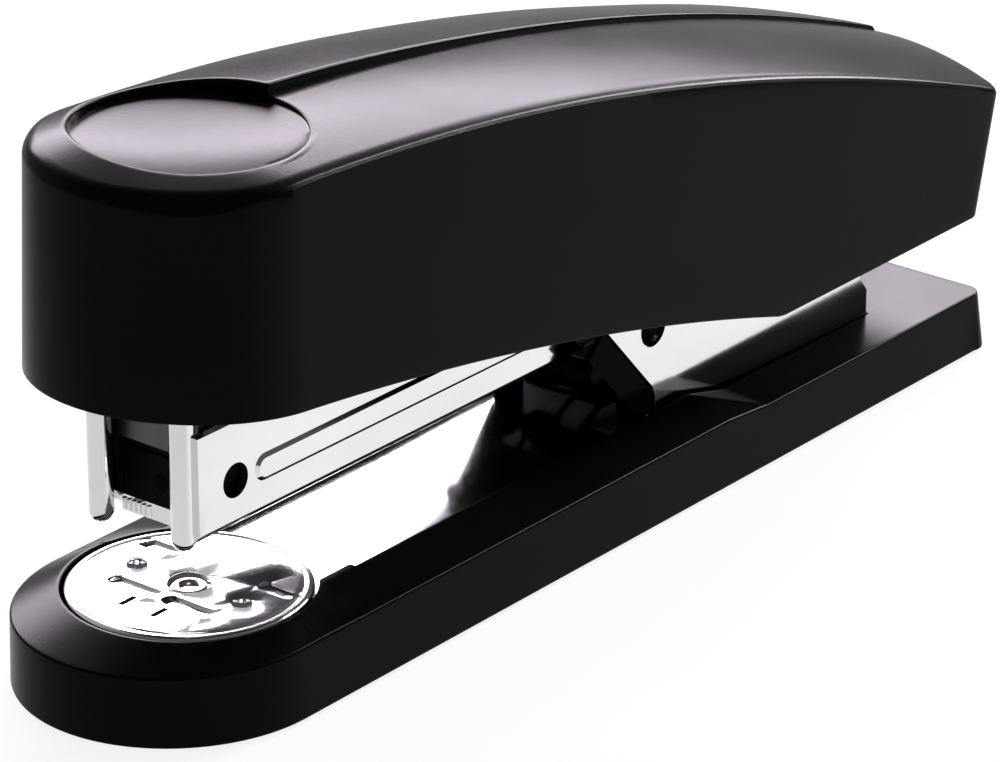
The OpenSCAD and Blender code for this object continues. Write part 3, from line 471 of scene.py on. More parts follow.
def cover():
    columns = cover_columns()
    n = len(columns)
    top = np.array([outline_point(c, COVER_W, COVER_REAR)[0] for c in columns])
    low = np.array([outline_point(c, COVER_LOW_W, COVER_LOW_REAR)[0] for c in columns])
    normal = np.array([outline_point(c, COVER_W, COVER_REAR)[1] for c in columns])
    far = np.array([c[2] for c in columns])
    edge = np.array([edge_profile(c, p[0]) for c, p in zip(columns, top)])
    slim = np.array([side_taper(c) for c in columns])
    top = top - normal * (FAR_LEAN * slim)[:, None]
    low = low + normal * (FAR_FLARE * slim * (np.abs(normal[:, 0]) > 0.01))[:, None]
    angle = dish_angles(columns, top)
    around = np.stack([np.cos(angle), np.sin(angle)], 1)
    dish_middle = np.array([DISH_S, 0])
    rows = []

    def row(plan, z):
        rows.append(np.column_stack([plan, np.broadcast_to(z, (n,))]))

    # floor of the dish, then its wall up to the top surface
    for part in np.linspace(0.1, 1, 12):
        row(dish_middle + around * DISH_R * part, DISH_Z + DISH_DOME * (1 - part ** 2))
    for out, rise in ((0.05, 0.4), (0.08, 0.66), (0.15, 0.8), (0.27, 0.905), (0.42, 0.965),
                      (0.6, 0.993)):
        plan = dish_middle + around * (DISH_R + out)
        height = np.maximum(cover_height(plan[:, 0], plan[:, 1], far), DISH_Z + 0.05)
        row(plan, DISH_Z + (height - DISH_Z) * rise)
    # top surface
    start = dish_middle + around * (DISH_R + 0.9)
    end = top - normal * edge[:, :1]
    for part in np.linspace(0, 1, 46) ** 1.25:
        plan = start * (1 - part) + end * part
        row(plan, cover_height(plan[:, 0], plan[:, 1], far))
    # rounded top edge
    for k in range(2, EDGE_POINTS * 2, 2):
        plan = top - normal * edge[:, k:k + 1]
        row(plan, cover_height(plan[:, 0], plan[:, 1], far) - edge[:, k + 1])
    # side walls, with their draft, down to the lower edge
    z_top = rows[-1][:, 2].copy()

    def wall(inset, f, lift):
        z_low = arch_height(low[:, 0])
        z = z_low + lift + (z_top - z_low - lift) * f
        share = np.clip((z - TAIL_Z) / (z_top - TAIL_Z), 0, 1)
        return low + (top - low) * share[:, None] - normal * inset, z

    for f in np.linspace(1, 0, 12)[1:]:
        row(*wall(0.0, f, 0.25))
    for inset, lift in ((0.02, 0.12), (0.08, 0.03), (0.2, 0.0), (COVER_WALL - 0.4, 0.0),
                        (COVER_WALL - 0.1, 0.12), (COVER_WALL, 0.5)):
        row(*wall(inset, 0.0, lift))
    # inside of the walls and the ceiling
    for f in (0.4, 0.75, 0.9):
        row(*wall(COVER_WALL, f, 0.5))
    inner = rows[-1][:, :2].copy()
    middle = np.column_stack([np.clip(inner[:, 0], 20, 110), np.zeros(n)])
    for part in (0.0, 0.12, 0.4, 0.7, 0.9):
        plan = inner * (1 - part) + middle * part
        ceiling = cover_height(plan[:, 0], plan[:, 1], 0.0) - CEILING - 1.0 * (1 - min(part * 4, 1))
        under_dish = plan[:, 0] < DISH_S + DISH_R + 3
        row(plan, np.where(under_dish, np.minimum(ceiling, DISH_Z - DISH_SKIN), ceiling))
    points = np.concatenate(rows)
    faces = grid_faces(len(rows), n)
    centre = len(points)
    points = np.vstack([points, [DISH_S, 0, DISH_Z + DISH_DOME]])
    faces += [(centre, (j + 1) % n, j) for j in range(n)]
    # the ceiling closes along its middle line
    last = (len(rows) - 1) * n
    faces += [(last + j, last + j + 1, last + n - 2 - j, last + n - 1 - j)
              for j in range(n // 2 - 1)]
    piece("cover", points, faces, PLASTIC, "handle", ("cover_shell",), 40.0)


# ---------------------------------------------------------------- base

BASE_HALF, DECK_REAR, BASE_CORNER = 18.0, 130.6, 2.0
# Heights of the raised part's outer edge, the deck, the raised rim and the floor.
SIDE_Z, DECK_Z, RIM_Z, PLATE_Z = 8.7, 8.1, 10.4, 7.0
# Where the raised part ends at the outer edge and at the rim, and the deck's swell behind it.
RAISED_END, SLOPE_START, REAR_SWELL = 84.7, 77.2, 0.4
# The well round the anvil and the slot behind it, with a narrower neck between them.
WELL_R, SLOT_HALF, NECK_HALF, NECK_S, SLOT_REAR = 14.2, 11.2, 10.4, 17.0, 115.2
SLOT_SWELL = 0.5  # how much wider the slot is beside the bracket, on each side
# The rim outside the level ledge that runs round the well and the slot.
RIM_R, RIM_HALF, RIM_FRONT_HALF, RIM_FRONT_S = 14.6, 12.1, 11.6, 11.1
REAR_RIM_S, REAR_RIM_HALF = SLOT_REAR + 0.8, 12
SOLE_Z, HOLLOW_Z, BASE_WALL = 0.4, 1.3, 1.45
# How far the round front stands out of its circle, and the wall's flare to the table: on all
# sides, what the rear adds and what the front takes off.
FRONT_FULLER, FLARE, REAR_FLARE, FRONT_FLARE = 0.35, 0.4, 0.8, 0.3
BASE_EDGE, LEDGE_EDGE = 0.28, 0.14  # roundings
MIDDLE_END = 112  # where the middle line that closes the floor and the hollow ends


def raised_z(s, high, swell=0.0):
    """Height along the raised part and the deck behind it. swell lifts the deck just behind the
    slope."""
    deck = DECK_Z + swell * float(smooth(RAISED_END + 18, RAISED_END, s))
    slope = float(np.clip((RAISED_END - s) / (RAISED_END - SLOPE_START), 0, 1))
    return deck + (high - deck) * slope


def rim_y(s):
    if s < RIM_FRONT_S:
        return math.sqrt(RIM_R ** 2 - max(s - ANVIL_S, 0.0) ** 2)
    share = (s - RIM_FRONT_S) / (SLOPE_START - RIM_FRONT_S)
    return RIM_FRONT_HALF + (RIM_HALF - RIM_FRONT_HALF) * share


def base_half_columns():
    """Half of the base's outline, from the middle of its rear edge to the middle of its round
    front. Each is (outer point, its normal, rim point with its height, inner point)."""
    out = []
    rear_rim, floor_rear = (REAR_RIM_S, REAR_RIM_HALF, DECK_Z), (SLOT_REAR, SLOT_HALF)

    def add(outer, normal, rim, inner):
        out.append((outer, normal, rim, inner))

    for y in np.linspace(0, 1, 9):
        add((DECK_REAR, y * (BASE_HALF - BASE_CORNER)), (1, 0),
            (REAR_RIM_S, y * REAR_RIM_HALF, DECK_Z), (SLOT_REAR, y * SLOT_HALF))
    corner_s, corner_y = DECK_REAR - BASE_CORNER, BASE_HALF - BASE_CORNER
    for a in np.radians(np.linspace(0, 90, 13)[1:]):
        n = (math.cos(a), math.sin(a))
        add((corner_s + BASE_CORNER * n[0], corner_y + BASE_CORNER * n[1]), n, rear_rim, floor_rear)
    for f in np.linspace(0, 1, 5)[1:]:
        s = corner_s + (REAR_RIM_S - DECK_REAR + BASE_CORNER) * f
        add((s, BASE_HALF), (0, 1), rear_rim, floor_rear)
    # Pairs of stations, on the outer edge and on the rim, which is ahead of it along the slope.
    run = RAISED_END - SLOPE_START
    steps = [(s, s) for s in np.linspace(SLOT_REAR, RAISED_END + 0.3, 14)]
    steps += [(RAISED_END, RAISED_END - run * f) for f in (-0.01, 0.01, 0.3, 0.6, 0.95, 0.99)]
    steps += [(RAISED_END - run * f, SLOPE_START) for f in (0.02, 0.06, 0.4, 0.7, 0.97, 1.0)]
    steps += [(s, s) for s in np.linspace(SLOPE_START - 0.25, NECK_S, 24)]
    for s, rim_s in steps:
        rim_half = rim_y(min(rim_s, SLOPE_START)) if rim_s < RAISED_END else REAR_RIM_HALF
        wider = SLOT_SWELL * float(smooth(45, 68, rim_s)) * float(smooth(92, 84, rim_s))
        add((s, BASE_HALF), (0, 1), (rim_s, rim_half, raised_z(rim_s, RIM_Z, REAR_SWELL)),
            (rim_s, SLOT_HALF + wider))
    meet = ANVIL_S + math.sqrt(WELL_R ** 2 - NECK_HALF ** 2)
    for s in np.linspace(NECK_S - 0.05, meet, 8):
        add((s, BASE_HALF), (0, 1), (s, rim_y(s), RIM_Z), (s, NECK_HALF))
    first = math.degrees(math.atan2(NECK_HALF, meet - ANVIL_S))
    for a in np.linspace(first, 90, 13)[1:]:
        s = meet * (90 - a) / (90 - first)
        c, d = math.cos(math.radians(a)), math.sin(math.radians(a))
        edge = (s, rim_y(s)) if s > ANVIL_S else (ANVIL_S + RIM_R * c, RIM_R * d)
        add((s, BASE_HALF), (0, 1), (*edge, RIM_Z), (ANVIL_S + WELL_R * c, WELL_R * d))
    for a in np.linspace(90, 180, 41)[1:]:
        n = (math.cos(math.radians(a)), math.sin(math.radians(a)))
        add(((BASE_HALF - FRONT_FULLER * n[0]) * n[0], BASE_HALF * n[1]), n,
            (ANVIL_S + RIM_R * n[0], RIM_R * n[1], RIM_Z), (ANVIL_S + WELL_R * n[0], WELL_R * n[1]))
    return out


def base():
    half = base_half_columns()
    columns = half + [((o[0], -o[1]), (n[0], -n[1]), (r[0], -r[1], r[2]), (i[0], -i[1]))
                      for o, n, r, i in half[-2:0:-1]]
    count = len(columns)
    outer, normal, rim, inner = [np.array(values, float) for values in zip(*columns)]
    edge_z = np.array([raised_z(o[0], SIDE_Z) for o in outer])
    flare = (FLARE + REAR_FLARE * np.clip(normal[:, :1], 0, 1)
             + FRONT_FLARE * np.clip(normal[:, :1], -1, 0))
    rows = []

    def row(plan, z):
        rows.append(np.column_stack([plan, np.broadcast_to(z, (count,))]))

    def middle_line(loop):
        return np.column_stack([np.clip(loop[:, 0], ANVIL_S, MIDDLE_END), np.zeros(count)])

    # the hollow under the deck, closed along its middle line
    for part in (1.0, 0.5, 0.0):
        wall = outer + normal * (flare - BASE_WALL)
        row(wall * (1 - part) + middle_line(outer) * part, HOLLOW_Z)
    # the lower edge and the flared wall
    for inset, z in ((1.42, 0.5), (1.36, SOLE_Z), (0.4, SOLE_Z), (0.2, 0.42), (0.06, 0.52),
                     (0.0, 0.7), (0.0, 2.0), (0.0, 4.0), (0.0, 6.0), (0.0, 7.4)):
        share = np.clip((DECK_Z - z) / (DECK_Z - SOLE_Z), 0, 1)
        row(outer + normal * (flare * share - inset), z)
    # the rounded upper edge, and the top up to the rim
    slope = (rim[:, 2] - edge_z) / np.maximum(np.hypot(*(rim[:, :2] - outer).T), 0.1)
    for a in np.radians(np.linspace(0, 90, 11)):
        inset = BASE_EDGE * (1 - math.cos(a))
        row(outer - normal * inset, edge_z - BASE_EDGE * (1 - math.sin(a)) + slope * inset)
    start = np.column_stack([outer - normal * BASE_EDGE, edge_z + slope * BASE_EDGE])
    for part in (0.06, 0.2, 0.4, 0.6, 0.8, 0.94):
        rows.append(start * (1 - part) + rim * part)
    # the level ledge, its rounded edge, and the wall down to the floor
    ledge = rim[:, :2] - inner
    deep = np.maximum(np.hypot(*ledge.T), 1e-6)[:, None]
    ledge = ledge / deep
    for back in (0.9, 0.55):
        row(inner + ledge * (deep * back), rim[:, 2])
    for a in np.radians(np.linspace(0, 90, 11)):
        row(inner + ledge * LEDGE_EDGE * (1 - math.sin(a)),
            rim[:, 2] - LEDGE_EDGE * (1 - math.cos(a)))
    row(inner, rim[:, 2] * 0.4 + PLATE_Z * 0.6)
    row(inner, PLATE_Z + 0.02)
    for part in (0.04, 0.5, 1.0):
        row(inner * (1 - part) + middle_line(inner) * part, PLATE_Z - 0.03)
    piece("base", np.concatenate(rows), grid_faces(len(rows), count), PLASTIC, "base",
          ("base_shell",), 11.5)


# ---------------------------------------------------------------- anvil

ANVIL_R, ANVIL_Z, ANVIL_FLAT_R = 13.8, 10.4, 11.9
ANVIL_UNDER, HUB_R, RIVET_R = 1.1, 2.3, 2.5  # depth of its underside, and radii in its middle
# Places of the grooves, holes and dashes, from the disc's centre.
OPEN_GROOVE, CLOSE_GROOVE, INDEX_HOLE = (-4.5, 3.98), (4.8, 8.75), (0.0, 7.7)
DASH, DASH_Y = ((-8.65, -0.4), (-6.15, -0.4), (-6.15, 0.4), (-8.65, 0.4)), 2.3


def boat(centre, length, width, count=28):
    """Outline of a groove along Y that narrows to its ends."""
    t = np.linspace(0, math.pi, count // 2 + 1)
    y = -np.cos(t) * length / 2
    half = width / 2 * np.minimum(np.sin(t) * 1.5, 1.0) ** 0.8
    one = np.column_stack([centre[0] + half, centre[1] + y])
    two = np.column_stack([centre[0] - half, centre[1] + y])[::-1]
    return np.concatenate([one, two[1:-1]])


def inside(point, loop):
    x, y = point
    hit = False
    for (x0, y0), (x1, y1) in zip(loop, np.roll(loop, -1, 0)):
        if (y0 > y) != (y1 > y) and x < (x1 - x0) * (y - y0) / (y1 - y0) + x0:
            hit = not hit
    return hit


def flat_with_holes(outline, holes):
    """Triangles that fill an outline round its holes. Gives the plan points and the faces."""
    points, edges = [], []
    for loop in [outline] + holes:
        first = len(points)
        points += [Vector(p) for p in loop]
        edges += [(first + i, first + (i + 1) % len(loop)) for i in range(len(loop))]
    vertices, _, triangles = delaunay_2d_cdt(points, edges, [], 1, 1e-6)[:3]
    plan = np.array([tuple(v) for v in vertices])
    faces = [f for f in triangles if not any(inside(plan[list(f)].mean(0), h) for h in holes)]
    return plan, faces


def shrunk(loop, share):
    centre = loop.mean(0)
    return centre + (loop - centre) * share


def anvil_disc():
    b = Builder()
    z = ANVIL_Z
    centre = (ANVIL_S, 0.0)
    count = 96
    # (radius, height over the flat top): the raised rim, the edge and the hollow underneath
    profile = ((ANVIL_FLAT_R, 0.0), (12.15, 0.0), (12.4, -0.06), (12.62, -0.1), (12.82, -0.03),
               (13.05, 0.06), (13.3, 0.07), (13.55, -0.02), (13.72, -0.18), (ANVIL_R, -0.42),
               (ANVIL_R, -1.4), (13.75, -2.3), (12.9, -2.3), (12.9, -ANVIL_UNDER),
               (HUB_R, -ANVIL_UNDER))
    b.rows([level(ring(centre, r, count), z + dz) for r, dz in profile])
    b.cap(level(ring(centre, HUB_R, count), z - ANVIL_UNDER))
    holes = []

    def hollow(loop, steps):
        """A pit with steps of (share of its outline, depth)."""
        holes.append(loop)
        rows = [level(shrunk(loop, share), z - depth) for share, depth in steps]
        b.rows(rows)
        b.fan(rows[-1], (*loop.mean(0), z - steps[-1][1]))

    bowl = ((1.0, 0.0), (0.97, 0.03), (0.88, 0.22), (0.8, 0.36), (0.7, 0.42), (0.3, 0.44))
    for m in (-1, 1):
        hollow(boat((ANVIL_S + OPEN_GROOVE[0], m * OPEN_GROOVE[1]), 7.8, 2.5), bowl)
        hollow(boat((ANVIL_S + CLOSE_GROOVE[0], m * CLOSE_GROOVE[1]), 5.8, 2.3), bowl)
        hollow(ring((ANVIL_S + INDEX_HOLE[0], m * INDEX_HOLE[1]), 1.35, 28),
               ((1.0, 0.0), (0.93, 0.03), (0.84, 0.14), (0.81, 0.3), (0.81, 0.75)))
        hollow(np.array(DASH) + (ANVIL_S, m * DASH_Y), ((1.0, 0.0), (0.97, 0.05), (0.93, 0.95)))
    hollow(ring(centre, RIVET_R, 40),
           ((1.0, 0.0), (0.97, 0.04), (0.93, 0.2), (0.9, 0.62), (0.7, 0.62)))
    b.flat(ring(centre, ANVIL_FLAT_R, count), holes, z)
    piece("anvil", b.points, b.faces, CHROME, "anvil", ("anvil_disc",), 30.0)


def anvil_rivet():
    z = ANVIL_Z
    # (radius, height): up the bore, over the rolled rim and down the shank with its two flanges
    profile = ((0, 6.2), (0.8, 6.2), (0.95, 6.5), (0.98, z - 0.8), (1.02, z - 0.5),
               (1.12, z - 0.28), (1.3, z - 0.19), (1.7, z - 0.17), (1.95, z - 0.22),
               (2.08, z - 0.34), (2.1, z - 0.5), (1.9, z - 0.6), (1.9, z - 1.2), (2.6, z - 1.2),
               (2.6, 3.6), (1.9, 3.5), (1.9, 2.2), (2.6, 2.1), (2.6, 1.45), (0, 1.45))
    b = Builder()
    b.rows([level(ring((ANVIL_S, 0.0), max(r, 1e-4), 48), z) for r, z in profile])
    piece("anvil_tube_rivet", b.points, b.faces, NICKEL_BRASS, "anvil",
          ("anvil_rivet",))


# ---------------------------------------------------------------- magazine

CHANNEL_Z, CHANNEL_HALF, CHANNEL_BEND = 20, 8, 0.9
GROOVE_Y, BEAD_Y = 7.65, 8.32  # the groove's floor in the CAD node, and the bead's crest
BEAD_START, BEAD_END, BEAD_Z, BEAD_HALF = 6.0, 56.0, 25.4, 1.6
# The dark sheet under the magazine, which is painted shade, and the ribs on the front edge of the channel's floor.
UNDER_START, UNDER_END, UNDER_HALF, UNDER_Z, UNDER_INSET = 2.5, 60.5, 6.6, 20.02, 0.2
RIB_COUNT, RIB_Y, RIB_PITCH, RIB_R, RIB_LOW, RIB_HIGH = 6, 1.9, 0.72, 0.27, 19.25, 20.6


def magazine():
    """The channel from its CAD node, with a raised bead along each side and rounded lower bends."""
    obj = dressed("magazine_channel", "magazine", CHROME, 0.1, 3, "magazine")
    start, end = (BEAD_START + FRONT_X) * MM, (BEAD_END + FRONT_X) * MM
    half = BEAD_HALF * MM
    tiny = 2e-5
    work = bmesh.new()
    work.from_mesh(obj.data)
    for v in work.verts:
        if abs(abs(v.co.y) - GROOVE_Y * MM) < tiny and start - 2 * MM < v.co.x < end + MM:
            v.co.y = math.copysign(BEAD_Y * MM, v.co.y)
            away = Vector((v.co.x - min(max(v.co.x, start), end - half), 0, v.co.z - BEAD_Z * MM))
            if away.length > half * 0.9:
                v.co.x -= away.x * 0.3
                v.co.z -= away.z * 0.3
    low = [e for e in work.edges if e.calc_length() > 20 * MM and
           all(abs(v.co.z - CHANNEL_Z * MM) < tiny and abs(abs(v.co.y) - CHANNEL_HALF * MM) < tiny
               for v in e.verts)]
    bmesh.ops.bevel(work, geom=low, offset=CHANNEL_BEND * MM, segments=6, profile=0.5,
                    affect="EDGES")
    work.to_mesh(obj.data)
    work.free()


def floor_ribs():
    """Small upright ribs on the front edge of the channel's floor."""
    b = Builder()
    for k in range(RIB_COUNT):
        y = RIB_Y + RIB_PITCH * k
        angle = np.radians(np.linspace(-90, 90, 9))
        plan = [(-1.75 - 0.3 * math.cos(a), y + RIB_R * math.sin(a)) for a in angle]
        plan += [(-1.6, y + RIB_R), (-1.6, y - RIB_R)]
        rows = [level(plan, z) for z in (RIB_LOW, RIB_HIGH)]
        b.rows(rows)
        b.cap(rows[0][::-1])
        b.cap(rows[1])
    piece("floor_ribs", b.points, b.faces, CHROME, "magazine", (), 30.0)


def magazine_shade_sheet():
    """A dark sheet under the magazine that the floor mirrors: painted shade, standing in for the darkness there
    rather than a part of the stapler.
    """

    def corners(inset, z):
        s0, s1, half = UNDER_START + inset, UNDER_END - inset, UNDER_HALF - inset
        return level([(s0, -half), (s1, -half), (s1, half), (s0, half)], z)

    b = Builder()
    b.rows([corners(0.0, UNDER_Z - down) for down in (0.0, 0.1, 0.14)])
    b.cap(corners(UNDER_INSET, UNDER_Z - 0.16)[::-1])
    piece("magazine_shade_sheet", b.points, b.faces, SHADE_SHEET_STEEL, "magazine")


# ---------------------------------------------------------------- springs

BRACKET_S, BRACKET_Z, BRACKET_LEAN = 69.5, 11.7, math.radians(42)  # its pin's place, its lean
# The lift springs: wire, coil radius, their legs' height over the bracket and over the table,
# from where to where they stand on the pin, turns and the angle that they start from.
LIFT_WIRE, LIFT_COIL_R, LIFT_LEG, LIFT_LEG_Z = 0.7, 1.65, 0.7, 8.37
LIFT_INNER, LIFT_OUTER, LIFT_TURNS, LIFT_START = 2.0, 5.4, 4, math.radians(250)
COIL_STEPS = 28


def tube(name, points, diameter, look, body, stands_for=(), sides=10):
    """A round wire through points given in station millimetres."""
    path = [np.array(p, float) for p in points]
    angle = np.linspace(0, 2 * math.pi, sides, endpoint=False)[:, None]
    rows = []
    side = np.array((0.123, 0.456, 0.881))
    for i, p in enumerate(path):
        ahead = path[min(i + 1, len(path) - 1)] - path[max(i - 1, 0)]
        ahead /= np.linalg.norm(ahead)
        if i == 0:
            side = np.cross(ahead, side)
        side = side - ahead * (side @ ahead)
        side /= np.linalg.norm(side)
        up = np.cross(ahead, side)
        rows.append(p + diameter / 2 * (side * np.cos(angle) + up * np.sin(angle)))
    b = Builder()
    b.rows(rows)
    b.cap(rows[0][::-1])
    b.cap(rows[-1])
    return piece(name, b.points, b.faces, look, body, stands_for, 50.0)


def coil(radius, turns, length, steps=COIL_STEPS):
    """Points of a coil, as (across, across, along its axis)."""
    out = []
    for i in range(int(turns * steps) + 1):
        a = 2 * math.pi * i / steps
        out.append((radius * math.cos(a), radius * math.sin(a), length * (i / (turns * steps))))
    return np.array(out)


def on_bracket(up, front):
    """The station and height of a point at a way up along the bracket and out of its front."""
    return (BRACKET_S - up * math.sin(BRACKET_LEAN) - front * math.cos(BRACKET_LEAN),
            BRACKET_Z + up * math.cos(BRACKET_LEAN) - front * math.sin(BRACKET_LEAN))


def lift_springs():
    """A coil on each side of the bracket's pin, with a leg on the floor and one on the bracket."""
    end = math.pi / 2 + BRACKET_LEAN + math.asin(LIFT_LEG / LIFT_COIL_R)
    turn = np.linspace(LIFT_START, end - 2 * math.pi * LIFT_TURNS, COIL_STEPS * LIFT_TURNS)
    across = [LIFT_INNER + (LIFT_OUTER - LIFT_INNER) * i / (len(turn) - 1)
              for i in range(len(turn))]
    for m, side in ((-1, "near"), (1, "far")):
        wire = [(BRACKET_S + back, m * LIFT_INNER, LIFT_LEG_Z) for back in (9, 6, 3)]
        wire += [(BRACKET_S + LIFT_COIL_R * math.cos(a), m * y,
                  BRACKET_Z + LIFT_COIL_R * math.sin(a)) for a, y in zip(turn, across)]
        tube(f"lift_spring_{side}", wire, LIFT_WIRE, ENAMEL, "base",
             ("lift_spring",) if m < 0 else ())
        tip = [on_bracket(up, LIFT_LEG) for up in np.linspace(1.5, 8.5, 5)]
        tube(f"lift_spring_tip_{side}", [(s, m * LIFT_OUTER, z) for s, z in tip], LIFT_WIRE, ENAMEL,
             "lift_bracket")


def upright_coil(name, node, points, lift, diameter, body):
    """A coil that stands in the middle of a CAD node's box. Gives it and the middle of the box's
    top in metres."""
    low, high = cad_mm(node)
    mid_s = (low[0] + high[0]) / 2
    wire = [(mid_s + p[0], p[1], low[2] + lift + p[2]) for p in points]
    spring = tube(name, wire, diameter, WIRE, body, (node,))
    return spring, ((mid_s + FRONT_X) * MM, 0, high[2] * MM)


def springs():
    lift_springs()
    low, high = cad_mm("pusher_spring")
    mid_y, mid_z = (low[1] + high[1]) / 2, (low[2] + high[2]) / 2
    wire = [(low[0] + 0.25 + p[2], mid_y + p[0], mid_z + p[1])
            for p in coil(1.6, 26, high[0] - low[0] - 0.5, 16)]
    spring = tube("pusher_coil", wire, 0.5, WIRE, "magazine", ("pusher_spring",), 8)
    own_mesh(spring)
    upright_coil("return_coil", "return_spring", coil(4.45, 4, 4.6), 0.45, 0.8, "magazine")
    spring, top = upright_coil("anvil_coil", "anvil_spring", coil(4.2, 2, 1.9), 0.25, 0.4, "base")
    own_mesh(spring)


# ---------------------------------------------------------------- build

# Ears of the hinge frame that carry the bracket's pin: stations, distance from the middle, foot.
EAR_S, EAR_Y, EAR_FOOT = (65.5, 73.5), (8.5, 9.85), 8.3


def in_ears(s, y, z):
    return EAR_S[0] < s < EAR_S[1] and EAR_Y[0] < y < EAR_Y[1] and z > EAR_FOOT


cover()
base()
anvil_disc()
anvil_rivet()
magazine()
floor_ribs()
# the dark sheet under the magazine is painted shade
magazine_shade_sheet()
springs()
dressed("base_sole", "base", RUBBER, 0.3)
hinge = dressed("hinge_frame", "base", CHROME, 0.16)
ears = split_off(hinge, "bracket_ears", in_ears, ENAMEL, "base")
round_edges(ears, 0.16, 2)
dressed("lift_bracket", "lift_bracket", ENAMEL, 0.2, 3)
dressed("handle_arm", "handle", STEEL, 0.15)
dressed("driver_blade", "handle", BLADE, 0.08)
dressed("staple_rail", "magazine", INNER, 0.12)
dressed("staple_pusher", "pusher", INNER, 0.15)
dressed("anvil_button", "anvil_lifter", INNER, 0.3, 3)
dressed("pivot_pin", "base", STEEL, 0.2, 3)
for node, obj in frame["nodes"].items():
    slot = next(s["material_slot"] for s in frame["record"]["subparts"] if s["node"] == node)
    obj.data.materials.clear()
    obj.data.materials.append(SLOT_LOOK[slot])


# ---------------------------------------------------------------- stage, light and camera

AZIMUTH, ELEVATION = math.radians(-51.1845), math.radians(23.7032)
CAMERA_AT = (-0.42846, -0.34475, 0.25744)
FLOOR_HALF, FLOOR_TONE = 30.0, (0.88, 0.88, 0.88, 1)
SEEN_GLOW, MIRRORED_GLOW = 0.86, 0.95  # share of the floor's own glow where seen or mirrored
WORLD_LIGHT = 0.45


def math_node(tree, operation, *values):
    """A math node. A value is a number or an output socket."""
    node = tree.nodes.new("ShaderNodeMath")
    node.operation = operation
    for i, value in enumerate(values):
        if isinstance(value, (int, float)):
            node.inputs[i].default_value = value
        else:
            tree.links.new(value, node.inputs[i])
    return node.outputs[0]


def fade(tree, value, start, end, low, high):
    """Goes smoothly from low to high while a value goes from start to end."""
    node = tree.nodes.new("ShaderNodeMapRange")
    node.interpolation_type = "SMOOTHSTEP"
    for name, number in (("From Min", start), ("From Max", end), ("To Min", low), ("To Max", high)):
        node.inputs[name].default_value = number
    tree.links.new(value, node.inputs["Value"])
    return node.outputs["Result"]


def along(tree, source, direction):
    node = tree.nodes.new("ShaderNodeVectorMath")
    node.operation = "DOT_PRODUCT"
    tree.links.new(source, node.inputs[0])
    node.inputs[1].default_value = direction
    return node.outputs["Value"]


def floor():
    """A plain pale floor. In mirrors it is darker to the left of the stapler and far behind it."""
    mat, tree, shader = new_material("pale_floor")
    shader.inputs["Base Color"].default_value = FLOOR_TONE
    shader.inputs["Roughness"].default_value = 0.7
    glow = tree.nodes.new("ShaderNodeEmission")
    path = tree.nodes.new("ShaderNodeLightPath")
    where = tree.nodes.new("ShaderNodeNewGeometry").outputs["Position"]
    left = fade(tree, along(tree, where, (1, 0, 0)), -0.085, -0.03, 0.72, 1.0)
    behind = fade(tree, along(tree, where, (0.45, 0.9, 0)), 0.03, 0.2, 1.0, 0.4)
    seen = math_node(tree, "MULTIPLY", path.outputs["Is Camera Ray"], SEEN_GLOW)
    mirrored = math_node(tree, "MULTIPLY", path.outputs["Is Glossy Ray"], MIRRORED_GLOW)
    mix = tree.nodes.new("ShaderNodeMixShader")
    tree.links.new(math_node(tree, "MAXIMUM", seen, mirrored), mix.inputs[0])
    lit = math_node(tree, "MULTIPLY", left, behind)
    strength = math_node(tree, "MAXIMUM", lit, path.outputs["Is Camera Ray"])
    tree.links.new(strength, glow.inputs["Strength"])
    tree.links.new(shader.outputs[0], mix.inputs[1])
    tree.links.new(glow.outputs[0], mix.inputs[2])
    tree.links.new(mix.outputs[0], tree.nodes["Material Output"].inputs["Surface"])
    mesh = bpy.data.meshes.new("floor")
    r = FLOOR_HALF
    mesh.from_pydata([(-r, -r, 0), (r, -r, 0), (r, r, 0), (-r, r, 0)], [], [(0, 1, 2, 3)])
    mesh.materials.append(mat)
    add_object("floor", mesh)


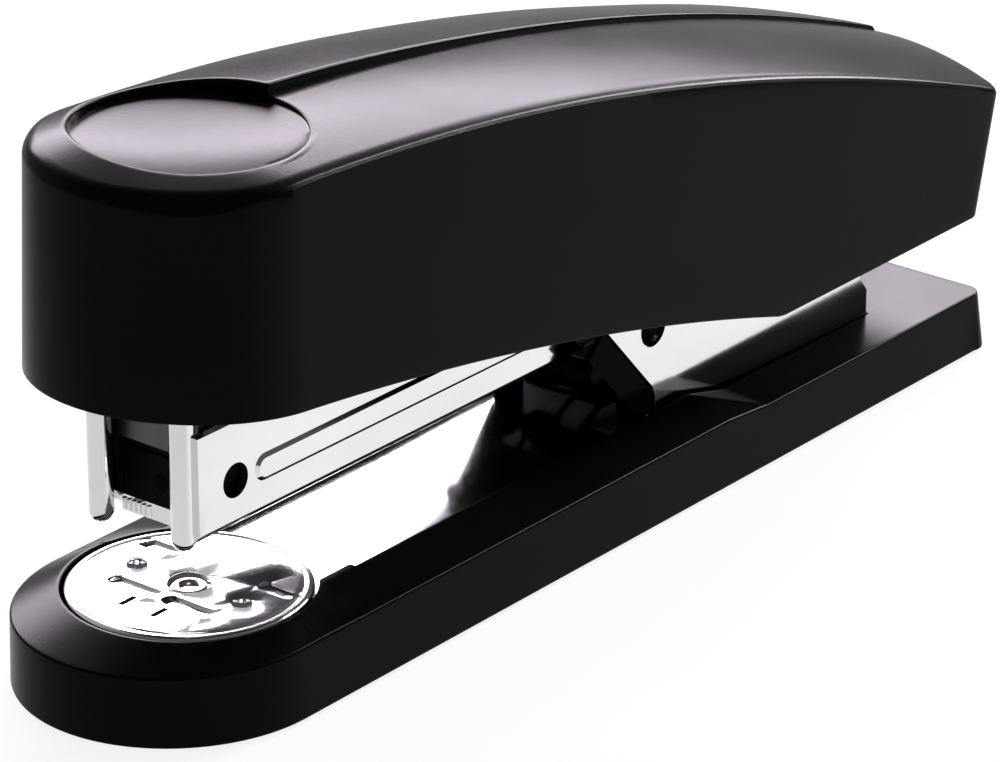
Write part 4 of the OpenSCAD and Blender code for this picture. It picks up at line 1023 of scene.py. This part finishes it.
def studio():
    """A white world. In mirrors it goes from dark at the near left to grey behind the stapler."""
    world = bpy.data.worlds.new("studio")
    bpy.context.scene.world = world
    world.use_nodes = True
    tree = world.node_tree
    back = tree.nodes["Background"]
    back.inputs["Color"].default_value = (1, 1, 1, 1)
    path = tree.nodes.new("ShaderNodeLightPath")
    where = tree.nodes.new("ShaderNodeTexCoord").outputs["Generated"]
    room = fade(tree, along(tree, where, (0.34, 0.94, 0)), 0.0, 0.8, 0.09, 0.43)
    mirrored = math_node(tree, "MULTIPLY", path.outputs["Is Glossy Ray"], room)
    other_rays = math_node(tree, "SUBTRACT", 1.0, path.outputs["Is Glossy Ray"])
    light = math_node(tree, "ADD", mirrored, math_node(tree, "MULTIPLY", other_rays, WORLD_LIGHT))
    strength = math_node(tree, "MAXIMUM", light, path.outputs["Is Camera Ray"])
    tree.links.new(strength, back.inputs["Strength"])


def lamp(name, at, target, size, watts, colour=(1, 1, 1), lie=None):
    """A rectangular lamp. lie is the direction of its long side."""
    light = bpy.data.lights.new(name, "AREA")
    light.shape = "RECTANGLE"
    light.size, light.size_y = size
    light.energy = watts
    light.color = colour
    obj = add_object(name, light)
    obj.location = at
    direction = Vector(target) - Vector(at)
    if lie:
        back = -direction.normalized()
        side = (Vector(lie) - back * back.dot(Vector(lie))).normalized()
        obj.rotation_euler = Matrix((side, back.cross(side), back)).transposed().to_euler()
    else:
        obj.rotation_euler = direction.to_track_quat("-Z", "Y").to_euler()


def camera():
    data = bpy.data.cameras.new("camera")
    data.sensor_width = 36.0
    data.lens = 185.948
    data.clip_start = 0.01
    data.clip_end = 100.0
    obj = add_object("camera", data)
    obj.location = CAMERA_AT
    obj.rotation_euler = (math.pi / 2 - ELEVATION, 0, AZIMUTH)
    bpy.context.scene.camera = obj


floor()
studio()
lamp("behind", at=(0.81, 0.81, 0.63), target=(0, 0, 0.04), size=(1.7, 0.46), watts=42,
     colour=(0.98, 0.9, 1.0))
lamp("right", at=(1.04, -0.21, 0.61), target=(0.05, 0, 0.05), size=(0.75, 0.16), watts=20,
     lie=(-0.28, -0.34, 0.4))
camera()
scene = bpy.context.scene
scene.view_settings.view_transform = "Standard"
